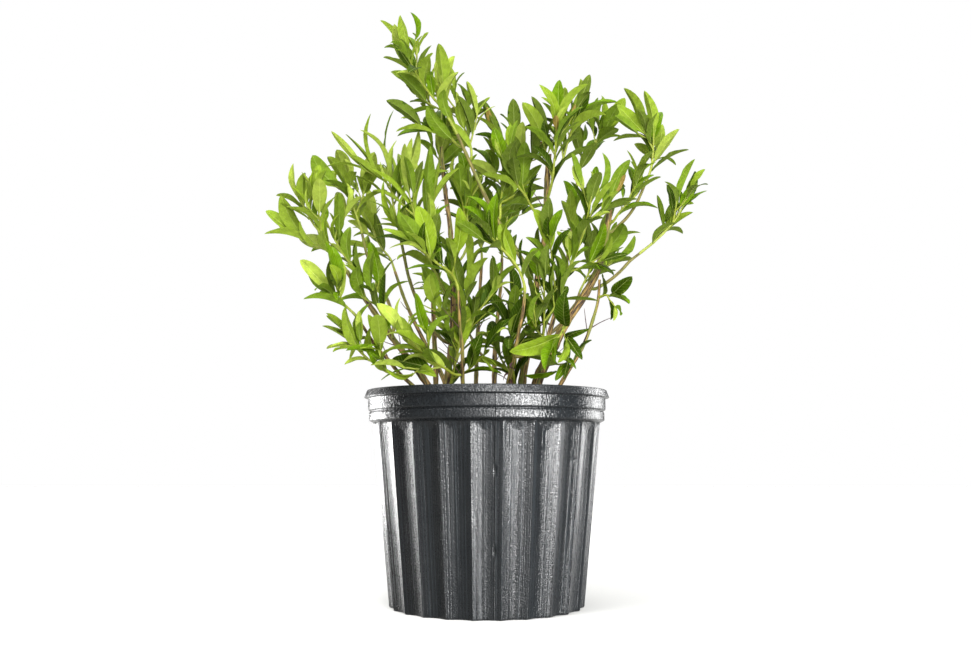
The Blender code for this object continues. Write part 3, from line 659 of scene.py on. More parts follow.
class Pile:
    """Many small shapes that become one piece: corners, faces and their material slots."""

    def __init__(self):
        self.corners = []
        self.faces = []
        self.slots = []
        self.places = []
        self.count = 0

    def add(self, corners, *groups):
        """Put in one shape: its corners, and groups of faces with their slot."""
        for faces, slot in groups:
            self.faces += (faces + self.count).tolist()
            self.slots += [slot] * len(faces)
        self.corners.append(corners)
        self.count += len(corners)

    def add_loft(self, rings, end_slot=0):
        """Put in a closed body through rings. Its last end may have a slot of its own."""
        rows, sides = rings.shape[:2]
        here = np.arange(sides)
        after = (here + 1) % sides
        top = (rows - 1) * sides
        foot = np.stack([after, here, np.full(sides, rows * sides)], -1)
        tip = np.stack([top + here, top + after, np.full(sides, rows * sides + 1)], -1)
        corners = np.concatenate([rings.reshape(-1, 3), [rings[0].mean(0), rings[-1].mean(0)]])
        self.add(corners, (foot, 0), (grid_faces(rows, sides, around=True), 0), (tip, end_slot))

    def build(self, name, materials, crease=CREASE):
        """The piece as an object, smooth except at edges sharper than the crease."""
        mesh = bpy.data.meshes.new(name)
        mesh.from_pydata(np.concatenate(self.corners).tolist(), [], self.faces)
        for material in materials:
            mesh.materials.append(material)
        mesh.polygons.foreach_set("material_index", self.slots)
        if self.places:
            places = mesh.attributes.new(STRAIGHT_PLACE, "FLOAT_VECTOR", "POINT")
            places.data.foreach_set("vector", np.concatenate(self.places).ravel())
        mesh.shade_smooth()
        mesh.set_sharp_from_angle(angle=crease)
        return new_object(name, mesh)


def grid_faces(rows, columns, around=False, over=False):
    """Quads of a grid of corners, joined round its columns or over its rows where asked."""
    high = rows if over else rows - 1
    wide = columns if around else columns - 1
    row, column = np.meshgrid(np.arange(high), np.arange(wide), indexing="ij")
    right = (column + 1) % columns
    above = (row + 1) % rows
    quads = [row * columns + column, row * columns + right]
    quads += [above * columns + right, above * columns + column]
    return np.stack(quads, -1).reshape(-1, 4)


def new_object(name, data):
    """An object that holds a mesh, a lamp or a camera, in the scene."""
    item = bpy.data.objects.new(name, data)
    bpy.context.scene.collection.objects.link(item)
    return item


def finish_piece(item, slot, *nodes):
    """Let a piece ride on the plant's one body and stand for its solids. Its slot is not used."""
    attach(item, "root")
    if nodes:
        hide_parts(*nodes)


class Curve:
    """A smooth curve through points that lie unevenly apart, with the radius along it."""

    def __init__(self, points, radii):
        self.points = np.array(points)
        steps = np.diff(self.points, axis=0)
        self.gaps = np.linalg.norm(steps, axis=1)
        slopes = steps / self.gaps[:, None]
        before, after = self.gaps[:-1, None], self.gaps[1:, None]
        inner = (slopes[:-1] * after + slopes[1:] * before) / (before + after)
        self.slopes = np.vstack([slopes[:1], inner, slopes[-1:]])
        self.radii = radii
        self.marks = np.concatenate([[0.0], np.cumsum(self.gaps)])
        self.length = self.marks[-1]

    def at(self, along):
        """Places at distances along the curve."""
        along = np.atleast_1d(along)
        index = np.searchsorted(self.marks, along, side="right") - 1
        index = np.clip(index, 0, len(self.gaps) - 1)
        gap = self.gaps[index][:, None]
        t = (along - self.marks[index])[:, None] / gap
        first, last = self.points[index], self.points[index + 1]
        leave, arrive = self.slopes[index] * gap, self.slopes[index + 1] * gap
        return (
            first * (2 * t**3 - 3 * t**2 + 1) + leave * (t**3 - 2 * t**2 + t)
            + last * (3 * t**2 - 2 * t**3) + arrive * (t**3 - t**2)
        )

    def radius(self, along):
        """Radii at distances along the curve."""
        return np.interp(along, self.marks, self.radii)

    def frames(self, step):
        """Distances along the curve about a step apart, with the place and axes at each."""
        count = max(FEWEST_STEPS, round(self.length / step))
        along = np.linspace(0, self.length, count + 1)
        centres = self.at(along)
        headings = np.gradient(centres, axis=0)
        headings /= np.linalg.norm(headings, axis=1)[:, None]
        across = np.zeros_like(headings)
        start = np.array(START_SIDE)
        for index, heading in enumerate(headings):
            start = start - heading * start.dot(heading)
            start /= np.linalg.norm(start)
            across[index] = start
        return along, centres, across, np.cross(headings, across)


def level_ring(radius, height, sides, centre=(0, 0)):
    """Corners of a flat ring."""
    angles = math.tau * np.arange(sides) / sides
    across, beside = centre[0] + radius * np.cos(angles), centre[1] + radius * np.sin(angles)
    return np.stack([across, beside, np.full(sides, height)], -1)


def outward(across, beside, sides):
    """Directions out from a curve to each corner of its rings."""
    angles = math.tau * np.arange(sides) / sides
    return across[:, None] * np.cos(angles)[:, None] + beside[:, None] * np.sin(angles)[:, None]


def smoothstep(values):
    """Values eased from 0 to 1."""
    eased = np.clip(values, 0, 1)
    return eased * eased * (3 - 2 * eased)


# Growth rule of the solids

class Limb:
    """A tapering limb, shoot or twig: its centre line, its radii and its foot's facing."""

    def __init__(self, name, points, radii, sides, foot_facing):
        self.name = name
        self.points = points
        self.radii = radii
        self.sides = sides
        self.foot_facing = foot_facing

    def heading(self, index):
        """Direction of the centre line at one of its points."""
        before = self.points[max(index - 1, 0)]
        after = self.points[min(index + 1, len(self.points) - 1)]
        return (after - before).normalized()

    def place(self, share):
        """Point, direction and radius at a share of the limb's length in points."""
        last = len(self.points) - 1
        spot = min(share, LAST_SHARE) * last
        index = int(spot)
        part = spot - index
        point = self.points[index].lerp(self.points[index + 1], part)
        direction = self.heading(index).lerp(self.heading(index + 1), part).normalized()
        radius = self.radii[index] * (1 - part) + self.radii[index + 1] * part
        return point, direction, radius

    def shape(self, extra=0.0):
        """Closed tube along the centre line, thicker by the extra where asked."""
        start = Vector(START_SIDE)
        rings = []
        for index, point in enumerate(self.points):
            facing = self.foot_facing if index == 0 else self.heading(index)
            across = start - facing * start.dot(facing)
            start = across.normalized()
            rings.append(circle(point, facing, start, self.radii[index] + extra, self.sides))
        return lofted(rings)


def circle(centre, axis, start, radius, sides):
    """Corners of a regular ring about an axis, counted from the start direction."""
    across = start - axis * start.dot(axis)
    across.normalize()
    along = axis.cross(across)
    corners = []
    for index in range(sides):
        angle = math.tau * index / sides
        corners.append(centre + radius * (across * math.cos(angle) + along * math.sin(angle)))
    return corners


def lofted(rings):
    """A closed body through rings of equal size, with flat ends."""
    count = len(rings[0])
    corners = [corner for ring in rings for corner in ring]
    faces = []
    for level in range(len(rings) - 1):
        low = level * count
        for index in range(count):
            after = (index + 1) % count
            faces.append((low + index, low + after, low + count + after, low + count + index))
    last = (len(rings) - 1) * count
    faces.append(tuple(reversed(range(count))))
    faces.append(tuple(range(last, last + count)))
    return corners, faces


def cubic(foot, rise, settle, tip, steps):
    """Points along a cubic curve that leaves along rise and arrives along settle."""
    first = foot + rise
    second = tip - settle
    points = []
    for index in range(steps + 1):
        t = index / steps
        s = 1 - t
        points.append(foot * s**3 + first * 3 * s * s * t + second * 3 * s * t * t + tip * t**3)
    return points


def wandering(points, amount, luck):
    """The same points with the inner ones pushed aside, as a limb bends at its old buds."""
    moved = [points[0]]
    for point in points[1:-1]:
        level = luck.uniform(-1, 1), luck.uniform(-1, 1)
        aside = Vector((*level, luck.uniform(-UPRIGHT_WANDER, UPRIGHT_WANDER)))
        moved.append(point + aside * amount)
    moved.append(points[-1])
    return moved


def taper(first, last, steps):
    """Radii that shrink evenly from the foot to the tip."""
    return [first + (last - first) * index / steps for index in range(steps + 1)]


def cane(row, luck):
    """A cane that rises from the mix, with a flared foot."""
    name, foot, foot_slope, tip, tip_slope, thickness = row
    start = Vector((foot[0] * MM, foot[1] * MM, MIX_TOP + GAP))
    end = Vector(tip) * MM
    climb = (end.z - start.z) * CURVE_WEIGHT
    rise = Vector((*foot_slope, 1)) * climb
    settle = Vector((*tip_slope, 1)) * climb
    points = cubic(start, rise, settle, end, CANE_STEPS)
    radii = [size * MM / 2 for size in thickness]
    points = wandering(points, radii[0] * WANDER, luck)
    radii = taper(*radii, CANE_STEPS)
    points.insert(1, points[0].lerp(points[1], FLARE_SHARE))
    radii.insert(1, radii[0])
    radii[0] *= FLARE
    return Limb(name, points, radii, LIMB_CORNERS, UP)


def sprout_foot(parent, share, tip):
    """Where a limb meets its parent, clear of its bark: point, facing and first heading."""
    point, direction, radius = parent.place(share)
    if share >= 1:
        return point + direction * GAP, direction, direction
    out = tip - point
    out = (out - direction * out.dot(direction)).normalized()
    heading = (out * SPROUT_OUT + direction * SPROUT_ON).normalized()
    return point + out * (radius + GAP), out, heading


def side_limb(limbs, row, lift, radii, steps, wander, corners, luck):
    """A bough or a leading shoot, from the side or the end of the limb that carries it."""
    name, parent, share, tip = row[:4]
    end = Vector(tip) * MM
    foot, facing, heading = sprout_foot(limbs[parent], share, end)
    reach = (end - foot).length * CURVE_WEIGHT
    settle = ((end - foot).normalized() * (1 - lift) + UP * lift).normalized()
    points = cubic(foot, heading * reach, settle * reach, end, steps)
    return Limb(name, wandering(points, wander, luck), taper(*radii, steps), corners, facing)


def shoot_length(shoot):
    """Length along a shoot's centre line."""
    pairs = zip(shoot.points, shoot.points[1:])
    return sum((after - before).length for before, after in pairs)


def around(direction, angle):
    """Unit vector square to a direction, at an angle about it."""
    side = direction.cross(BUD_SIDE).normalized()
    return side * math.cos(angle) + direction.cross(side) * math.sin(angle)


def side_buds(leader, luck):
    """Buds round the leading shoot: share of its length, angle, and the twig's length and lift."""
    length = shoot_length(leader)
    count = int(length * (1 - BARE_SHARE) / SIDE_SPACING)
    start = luck.uniform(0, math.tau)
    buds = []
    for index in range(count):
        share = BARE_SHARE + (SIDE_END - BARE_SHARE) * (index + 0.5) / count
        size = SIDE_SHARE * length * (1 - SIDE_SHRINK * share) * luck.uniform(*SIDE_LUCK)
        size = max(min(size, SIDE_RANGE[1]), SIDE_RANGE[0])
        buds.append((share, start + index * GOLDEN_ANGLE, size, TWIG_LIFT))
    return buds


def twig_at(leader, bud, turn):
    """The twig that a bud makes when it is turned about the leading shoot."""
    share, angle, size, lift = bud
    point, direction, _ = leader.place(share)
    out = around(direction, angle + turn)
    heading = direction * math.cos(SIDE_ANGLE) + out * math.sin(SIDE_ANGLE)
    bend = (heading * TWIG_BEND + UP * lift).normalized()
    tip = point + (heading + bend) * (size / 2)
    points = cubic(point, heading * size / 3, bend * size / 3, tip, SIDE_STEPS)
    return Limb(leader.name, points, taper(*SIDE_RADII, SIDE_STEPS), LEADER_CORNERS, heading)


def any_way(luck):
    """A vector that may point any way."""
    return Vector((luck.uniform(-1, 1), luck.uniform(-1, 1), luck.uniform(-1, 1)))


def leaf_bud(share, angle, lean, size, part, form, habit, luck, drop=0.0):
    """A leaf's bud: its place and turn on the shoot, how the leaf leans, and its sizes."""
    turn, lifts, widths, arches = habit
    return {
        "share": share,
        "angle": angle + luck.uniform(-turn, turn),
        "lean": math.radians(lean),
        "lift": luck.uniform(*lifts) - drop,
        "roll": any_way(luck),
        "length": size * part,
        "width": size * LEAF_FORMS[form][1] * luck.uniform(*widths),
        "arch": LEAF_ARCH * luck.uniform(*arches),
    }


def leaf_buds(shoot, form, leaf_length, luck):
    """Leaf buds in a spiral along one shoot, from the one at its tip downward."""
    length = shoot_length(shoot)
    first = BARE_SHARE * length
    count = max(2, round((length - first) / LEAF_SPACING))
    start = luck.uniform(0, math.tau)
    buds = []
    for index in range(count, -1, -1):
        last = index == count
        along = first + (length - first) * (index + LEAF_START) / count
        if last:
            along = length - LEAF_SINK
        share = along / length
        lean = luck.uniform(*TIP_LEAN) if last else luck.uniform(*LEAF_LEAN) - LEAN_FALL * share
        size = leaf_length * LEAF_FORMS[form][0] * luck.uniform(*LEAF_SIZES)
        part = 1 - LENGTH_FALL * abs(share - LONGEST_PLACE)
        angle = start + index * GOLDEN_ANGLE
        buds.append(leaf_bud(share, angle, lean, size, part, form, GROWN_HABIT, luck))
    return buds


def leaf_at(shoot, bud, turn):
    """The leaf that a bud makes when it is turned about its shoot."""
    point, direction, _ = shoot.place(bud["share"])
    out = around(direction, bud["angle"] + turn)
    axis = direction * math.cos(bud["lean"]) + out * math.sin(bud["lean"])
    axis = (axis + UP * bud["lift"]).normalized()
    # The blade looks along its shoot and up, and a little inward and askew
    along, up, inward, askew = LEAF_FACING
    face = direction * along + UP * up - out * inward + bud["roll"] * askew
    return Leaf(shoot, bud["share"], point, axis, face, bud["length"], bud["width"], bud["arch"])


class Leaf:
    """One leaf: its shoot and place there, its root, its axis and facing, and its sizes."""

    def __init__(self, shoot, share, root, axis, face, length, width, arch):
        self.shoot = shoot
        self.share = share
        self.root = root
        self.axis = axis
        self.face = (face - axis * face.dot(axis)).normalized()
        self.side = self.face.cross(axis)
        self.length = length
        self.width = width
        self.arch = arch

    def point(self, along, aside, above):
        """Point at a share of the length and half width, and at a height over the blade."""
        step = self.axis * (along * self.length) + self.side * (aside * self.width / 2)
        return self.root + step + self.face * above

    def shape(self, extra=0.0):
        """Closed blade of eight faces, folded along its midrib and arched."""
        half = LEAF_THICKNESS * self.length / 2 + extra
        keel = LEAF_KEEL / LEAF_SHOULDER * self.arch * self.length
        edge = 1 + extra / (self.width / 2)
        lifted = self.arch * self.length + LEAF_FOLD * self.width / 2
        corners = [
            self.root,
            self.point(LEAF_SHOULDER, edge, lifted),
            self.point(LEAF_SHOULDER, -edge, lifted),
            self.point(LEAF_KEEL, 0, keel + half),
            self.point(LEAF_KEEL, 0, keel - half),
            self.point(1 + extra / self.length, 0, 0),
        ]
        faces = [
            (0, 3, 1), (0, 2, 3), (0, 1, 4), (0, 4, 2),
            (5, 1, 3), (5, 3, 2), (5, 4, 1), (5, 2, 4),
        ]
        return corners, faces


class Clearance:
    """Remembers the pieces that stand and tells whether a new one would touch them."""

    def __init__(self):
        self.owners = []
        self.trees = []
        self.boxes = np.zeros((0, 6))

    def add(self, owner, shape):
        """Keep a piece under its owner's name."""
        corners, faces = shape
        places = np.array(corners)
        box = np.concatenate([places.min(0), places.max(0)])
        self.boxes = np.vstack([self.boxes, box])
        self.owners.append(owner)
        self.trees.append(BVHTree.FromPolygons(corners, faces))

    def touches(self, shape, own):
        """Whether a shape touches any piece of another owner."""
        corners, faces = shape
        places = np.array(corners)
        low, high = places.min(0), places.max(0)
        near = np.all(self.boxes[:, :3] <= high, 1) & np.all(self.boxes[:, 3:] >= low, 1)
        tree = BVHTree.FromPolygons(corners, faces)
        return any(
            self.owners[index] != own and tree.overlap(self.trees[index])
            for index in np.flatnonzero(near)
        )


def outside_space(shape, leader, reach):
    """Whether a shape leaves the space round a leading shoot or sinks to the pot."""
    return any(
        corner.z < LOWEST_LEAF or min((corner - point).length for point in leader.points) > reach
        for corner in shape[0]
    )


def first_free(make, bud, stem, owner, standing, leader, reach):
    """The first turn of a bud's twig or leaf that touches nothing and keeps to its space."""
    for turn in TURNS:
        piece = make(stem, bud, turn)
        guard = piece.shape(CLEARANCE)
        if not outside_space(guard, leader, reach) and not standing.touches(guard, owner):
            return piece, guard
    return None, None


class Spray:
    """One mass of foliage: its shoots, the leading one first, its leaves, and its reach."""

    def __init__(self, row, leader):
        self.name, self.limb, self.foot, _, reach, self.form = row
        self.reach = reach * MM
        self.shoots = [leader]
        self.leaves = []

    def grow(self, made, make, number, buds, standing):
        """Grow what the buds of one shoot make, where it finds a free place."""
        stem, leader = self.shoots[number], self.shoots[0]
        # A twig or a leaf may touch the shoot that it grows from, and nothing else
        owner = (self.name, number)
        for bud in buds:
            piece, guard = first_free(make, bud, stem, owner, standing, leader, self.reach)
            if piece:
                standing.add((self.name, len(made) if made is self.shoots else "leaf"), guard)
                made.append(piece)


def grow_limbs():
    """All canes and boughs by name."""
    limbs = {}
    for index, row in enumerate(CANES):
        limbs[row[0]] = cane(row, draws("canes", index))
    for index, row in enumerate(BOUGHS):
        radii = [size * MM / 2 for size in row[5]]
        luck = draws("boughs", index)
        wander = radii[0] * WANDER
        limbs[row[0]] = side_limb(limbs, row, row[4], radii, BOUGH_STEPS, wander, LIMB_CORNERS, luck)
    return limbs


def grow_sprays(limbs, solid_leaf):
    """Every spray with its shoots and leaves as in the solids, and what stands where."""
    standing = Clearance()
    for limb in limbs.values():
        standing.add(limb.name, limb.shape(CLEARANCE))
    sprays = {}
    form = (LEADER_LIFT, LEADER_RADII, LEADER_STEPS, LEADER_WANDER, LEADER_CORNERS)
    for index, row in enumerate(SPRAYS):
        leader = side_limb(limbs, row, *form, draws("leading_shoots", index))
        sprays[row[0]] = Spray(row, leader)
        standing.add((row[0], 0), leader.shape(CLEARANCE))
    for index, spray in enumerate(sprays.values()):
        buds = side_buds(spray.shoots[0], draws("twigs", index))
        spray.grow(spray.shoots, twig_at, 0, buds, standing)
    for index, spray in enumerate(sprays.values()):
        luck = draws("leaves", index)
        for number, shoot in enumerate(spray.shoots):
            buds = leaf_buds(shoot, spray.form, solid_leaf, luck)
            spray.grow(spray.leaves, leaf_at, number, buds, standing)
    return sprays, standing


# Finer growth, beyond what the solids hold

def sag(shoot):
    """How far a low shoot's finer growth leans out and down over the pot's lip."""
    return HANG_LIFT * smoothstep((HANG_HEIGHT - shoot.points[-1].z) / HANG_RANGE)


def fine_buds(shoot, form, leaf_length, luck):
    """Smaller leaves between the larger ones, then young ones close to the shoot's tip."""
    length = shoot_length(shoot)
    count = round(length * (1 - BARE_SHARE) / FINE_SPACING)
    spots = []
    for index in range(count):
        share = BARE_SHARE + (FINE_END - BARE_SHARE) * (index + FINE_START) / count
        spots.append((share, luck.uniform(*FINE_SIZE), luck.uniform(*FINE_LEAN) - FINE_FALL * share))
    for index in range(YOUNG_LEAVES):
        share = 1 - (index + 1) * YOUNG_SPACING / length
        spots.append((share, luck.uniform(*YOUNG_SIZE), luck.uniform(*YOUNG_LEAN)))
    start = luck.uniform(0, math.tau)
    buds = []
    for index, (share, scale, lean) in enumerate(spots):
        size = leaf_length * LEAF_FORMS[form][0] * scale
        angle = start + index * GOLDEN_ANGLE
        buds.append(leaf_bud(share, angle, lean, size, 1, form, FINE_HABIT, luck, sag(shoot)))
    return buds


def twiglet_buds(shoot, luck):
    """Buds of short twigs: share of the shoot's length, angle, and the twiglet's length and lift."""
    count = round(shoot_length(shoot) * (1 - BARE_SHARE) / TWIGLET_SPACING)
    start = luck.uniform(0, math.tau)
    lift = TWIG_LIFT - sag(shoot)
    buds = []
    for index in range(count):
        share = BARE_SHARE + (TWIGLET_END - BARE_SHARE) * (index + 0.5) / count
        buds.append((share, start + index * GOLDEN_ANGLE, luck.uniform(*TWIGLET_RANGE), lift))
    return buds


def grow_finer(sprays, standing, leaf_length):
    """Twiglets on every shoot of the solids, then smaller and young leaves on them all."""
    for index, spray in enumerate(sprays.values()):
        luck = draws("finer_growth", index)
        solid = len(spray.shoots)
        for number in range(solid):
            buds = twiglet_buds(spray.shoots[number], luck)
            spray.grow(spray.shoots, twig_at, number, buds, standing)
        for twig in spray.shoots[solid:]:
            settle_limb(twig, 0.0, TWIGLET_RADII)
        for number, shoot in enumerate(spray.shoots):
            buds = fine_buds(shoot, spray.form, leaf_length, luck)
            if number >= solid:
                larger = leaf_buds(shoot, spray.form, leaf_length * TWIGLET_LEAF, luck)
                buds = larger + buds[-YOUNG_LEAVES:]
            spray.grow(spray.leaves, leaf_at, number, buds, standing)


def grow_dry_twigs(limbs, standing):
    """Thin dead twigs that stand out from the canes."""
    luck = draws("dry_twigs")
    twigs = []
    for _ in range(DRY_TWIGS):
        limb = limbs[luck.choice(CANES)[0]]
        share = luck.uniform(*DRY_TWIG_SHARES)
        angle, size = luck.uniform(0, math.tau), luck.uniform(*DRY_TWIG_RANGE)
        bud = (share, angle, size, luck.uniform(*DRY_TWIG_LIFTS))
        twig, guard = first_free(twig_at, bud, limb, limb.name, standing, limb, DRY_TWIG_REACH)
        if twig:
            settle_limb(twig, 0.0, DRY_TWIG_RADII, drawn_shift(limb, share))
            standing.add("dry", guard)
            twigs.append(twig)
    return twigs


def settle_limb(limb, sink, radii=None, shift=Vector()):
    """Give a limb the curve that it is drawn along, from inside what carries it to its tip."""
    if radii:
        limb.radii = taper(*radii, len(limb.points) - 1)
    foot = limb.points[0] + shift
    sunk = foot - limb.foot_facing * (sink + GAP)
    limb.curve = Curve([sunk, foot, *limb.points[1:]], [limb.radii[0], *limb.radii])


def smooth_place(limb, share):
    """Point of a limb's drawn curve at a share of its length in points."""
    spot = min(share, LAST_SHARE) * (len(limb.points) - 1)
    index = int(spot) + 1
    along = limb.curve.marks[index] + (spot - int(spot)) * limb.curve.gaps[index]
    return Vector(limb.curve.at(along)[0])


def drawn_shift(limb, share):
    """How far a limb's drawn curve lies from its straight stretches at a share."""
    return smooth_place(limb, share) - limb.place(share)[0]


@functools.cache
def grow_plant(leaf_length):
    """The whole plant: its limbs and its sprays by name, and its dry twigs."""
    limbs = grow_limbs()
    for row in CANES:
        settle_limb(limbs[row[0]], FOOT_DEPTH)
    for name, parent, share, *_ in BOUGHS:
        settle_limb(limbs[name], SOCKET_DEPTH, shift=drawn_shift(limbs[parent], share))
    sprays, standing = grow_sprays(limbs, leaf_length)
    for spray in sprays.values():
        leader, *twigs = spray.shoots
        settle_limb(leader, SOCKET_DEPTH, shift=drawn_shift(limbs[spray.limb], spray.foot))
        for twig in twigs:
            settle_limb(twig, 0.0)
    grow_finer(sprays, standing, leaf_length)
    for number, spray in enumerate(sprays.values()):
        deal_tones(spray, draws("tones", number))
    return limbs, sprays, grow_dry_twigs(limbs, standing)


def deal_tones(spray, luck):
    """Deal each leaf its tone, partly as painted light and shade: high, far-reaching and left sprays
    paler, as lit ones, and shaded or old leaves deeper.
    """
    tip = spray.shoots[0].points[-1]
    light = (tip.z - LOWEST_LEAF) / TONE_HEIGHT + math.hypot(tip.x, tip.y) / TONE_REACH
    mood = TONE_START + TONE_SHARE * min(light, MOST_LIGHT) - LEFT_GAIN * tip.x
    mood += luck.uniform(-SPRAY_LUCK, SPRAY_LUCK)
    for leaf in spray.leaves:
        young = leaf.length < YOUNG_LENGTH
        score = mood + TIP_GAIN * (leaf.share - LONGEST_PLACE) + YOUNG_GAIN * young
        score += luck.gauss(0, LEAF_LUCK)
        if young and tip.z > BRONZE_HEIGHT and luck.random() < BRONZE_SHARE:
            leaf.tone = "bronze"
        else:
            leaf.tone = next(tone for tone, limit in TONE_LIMITS if score < limit)


# Pot and potting mix

def wall_radius(height):
    """Radius over the arrises of the pot's tapering wall."""
    return HEEL_RADIUS + (SHOULDER_RADIUS - HEEL_RADIUS) * height / SHOULDER


def rounded_profile(corners):
    """Profile points (radius, height) with each corner rounded by its own fillet."""
    points = []
    for index, (radius, height, fillet) in enumerate(corners):
        corner = np.array((radius, height))
        sides = []
        for other in (corners[index - 1], corners[(index + 1) % len(corners)]):
            away = np.array(other[:2]) - corner
            length = np.linalg.norm(away)
            sides.append(corner + away / length * min(fillet, length * FILLET_REACH))
        for t in np.linspace(0, 1, FILLET_STEPS):
            points.append(sides[0] * (1 - t)**2 + corner * 2 * t * (1 - t) + sides[1] * t * t)
    return points


def pot_profile():
    """The pot's closed profile, up the outside, over the lip and down the inside."""
    # Radius, height and fillet of each corner
    corners = rounded_profile([
        (FOOT_RING, 0, 0.3 * MM),
        (wall_radius(0), 0, 2.5 * MM),
        (SHOULDER_RADIUS, SHOULDER, 1 * MM),
        (LOWER_BAND[2], LOWER_BAND[0], 1.2 * MM),
        (LOWER_BAND[2], LOWER_BAND[1], 1.1 * MM),
        (GROOVE[1], GROOVE[0], 0.8 * MM),
        (UPPER_BAND[2], UPPER_BAND[0], 1.1 * MM),
        (UPPER_BAND[2], UPPER_BAND[1], 0.6 * MM),
        (LIP_RADIUS, LIP_BOTTOM, 0.8 * MM),
        (LIP_TOP_RADIUS, POT_TOP, 1.3 * MM),
        (MOUTH_RADIUS, POT_TOP, 1 * MM),
        (GROOVE[1] - POT_WALL, GROOVE[0], 1 * MM),
        (SHOULDER_RADIUS - POT_WALL, SHOULDER + POT_WALL, 1 * MM),
        (wall_radius(POT_FLOOR) - POT_WALL, POT_FLOOR, 1 * MM),
        (FOOT_RING, POT_FLOOR, 0.3 * MM),
    ])
    finer = [corners[0]]
    for before, after in zip(corners, corners[1:]):
        climb = after[1] - before[1]
        step = INNER_ROW if climb < 0 else WALL_ROW
        if climb > 0 and after[1] > FLUTE_TOP - FLUTE_ARCH - 2 * FLUTE_RAMP:
            step = TOP_ROW if climb < SHOULDER / 2 else WALL_ROW
        count = max(1, math.ceil(abs(climb) / step))
        finer += [before + (after - before) * share / count for share in range(1, count + 1)]
    return np.array(finer)


def pot_angles():
    """Angles round the pot, closer together at the arrises and at the mould seams."""
    shares = (1 - np.cos(math.pi * np.arange(FLUTE_COLUMNS) / FLUTE_COLUMNS)) / 2
    arrises = (np.arange(FLUTES) + 0.5) / FLUTES
    angles = list((arrises[:, None] + shares / FLUTES).ravel() * math.tau % math.tau)
    for seam in SEAM_ANGLES:
        angles += [(seam + aside * MM / SHOULDER_RADIUS) % math.tau for aside in SEAM_COLUMNS_MM]
    return np.array(sorted(angles))


def flute_scoop(heights, angles):
    """Depth of the flutes at heights and angles: round hollows that end in a shallow arch."""
    share = (angles / math.tau * FLUTES - 0.5) % 1
    crown = FLUTE_TOP - FLUTE_ARCH * (2 * share - 1)**2
    return FLUTE_DEPTH * np.sin(math.pi * share) * smoothstep((crown - heights) / FLUTE_RAMP)


def seam_rise(heights, angles):
    """Height of the two fine seams where the mould's halves met, with their small nicks."""
    rise = np.zeros(np.broadcast(heights, angles).shape)
    for seam in SEAM_ANGLES:
        aside = np.abs((angles - seam + math.pi) % math.tau - math.pi) * SHOULDER_RADIUS
        rise += SEAM_HEIGHT * smoothstep(1 - aside / SEAM_HALF) * (heights < SEAM_TOP)
        for nick in SEAM_NICKS:
            away = np.hypot(aside / NICK_HALVES[0], (heights - nick) / NICK_HALVES[1])
            rise -= NICK_DEPTH * smoothstep(NICK_STEEPNESS * (1 - away))
    return rise


def pot_wall():
    """The wall with its flutes, bands, lip and foot ring."""
    profile = pot_profile()
    angles = pot_angles()[None]
    radii, heights = profile[:, :1], profile[:, 1:]
    outside = np.arange(len(profile))[:, None] <= np.argmax(profile[:, 1])
    reach = radii - flute_scoop(heights, angles) * (radii > FOOT_RING + FLOOR_OVERLAP)
    reach = reach + seam_rise(heights, angles) * outside * (heights > 0)
    places = np.broadcast_arrays(reach * np.cos(angles), reach * np.sin(angles), heights)
    pile = Pile()
    faces = grid_faces(len(profile), angles.size, around=True, over=True)
    pile.add(np.stack(places, -1).reshape(-1, 3), (faces, 0))
    return pile


def disc(radius, low, high, sides, centre=(0, 0)):
    """Rings of a plain upright disc."""
    return np.array([level_ring(radius, height, sides, centre) for height in (low, high)])


def cut_away(item, cutter):
    """Cut one object out of another for good, and remove the cutter."""
    cut = item.modifiers.new("cut", "BOOLEAN")
    cut.operation = "DIFFERENCE"
    cut.solver = "EXACT"
    cut.object = cutter
    bpy.context.view_layer.update()
    graph = bpy.context.evaluated_depsgraph_get()
    result = bpy.data.meshes.new_from_object(item.evaluated_get(graph), depsgraph=graph)
    item.modifiers.clear()
    item.data = result
    bpy.data.objects.remove(cutter, do_unlink=True)


def mix_surface(place):
    """Height of the loose top of the mix at a place."""
    lumps = 0
    for size_mm, level, share in MIX_LUMPS:
        lumps += share * noise.noise(Vector((*place, level)) * per_metre(size_mm))
    return MIX_TOP - MIX_HEIGHT / 2 + MIX_HEIGHT * lumps


def mix_bed():
    """The mix as one body that fills the pot up to a lumpy top."""
    rim = (GROOVE[1] - SHOULDER_RADIUS) / (GROOVE[0] - SHOULDER) * (MIX_TOP - SHOULDER)
    widest = SHOULDER_RADIUS + rim - POT_WALL - MIX_CLEARANCE
    inset = POT_WALL + FLUTE_DEPTH + MIX_CLEARANCE
    rings = [
        level_ring(wall_radius(POT_FLOOR) - inset, POT_FLOOR, MIX_SIDES),
        level_ring(SHOULDER_RADIUS - inset, SHOULDER - FLUTE_RAMP, MIX_SIDES),
        level_ring(widest, MIX_TOP - 2 * MIX_HEIGHT, MIX_SIDES),
    ]
    for share in np.linspace(1, MIX_CENTRE, MIX_RINGS):
        ring = level_ring(widest * share, 0, MIX_SIDES)
        ring[:, 2] = [mix_surface(place) for place in ring[:, :2]]
        rings.append(ring)
    pile = Pile()
    pile.add_loft(np.array(rings))
    return pile


def crumb(luck, sizes, roughness):
    """Rings of one rough crumb about the origin, from its three sizes."""
    rings = []
    for level, girth in CRUMB_RINGS:
        ring = []
        for index in range(CRUMB_SIDES):
            angle = math.tau * (index + luck.uniform(-CRUMB_TURN, CRUMB_TURN)) / CRUMB_SIDES
            reach = girth * (1 + luck.uniform(-roughness, roughness))
            along = level + luck.uniform(-CRUMB_SHIFT, CRUMB_SHIFT)
            ring.append((along, reach * math.cos(angle), reach * math.sin(angle)))
        rings.append(ring)
    return np.array(rings) * np.array(sizes) / 2


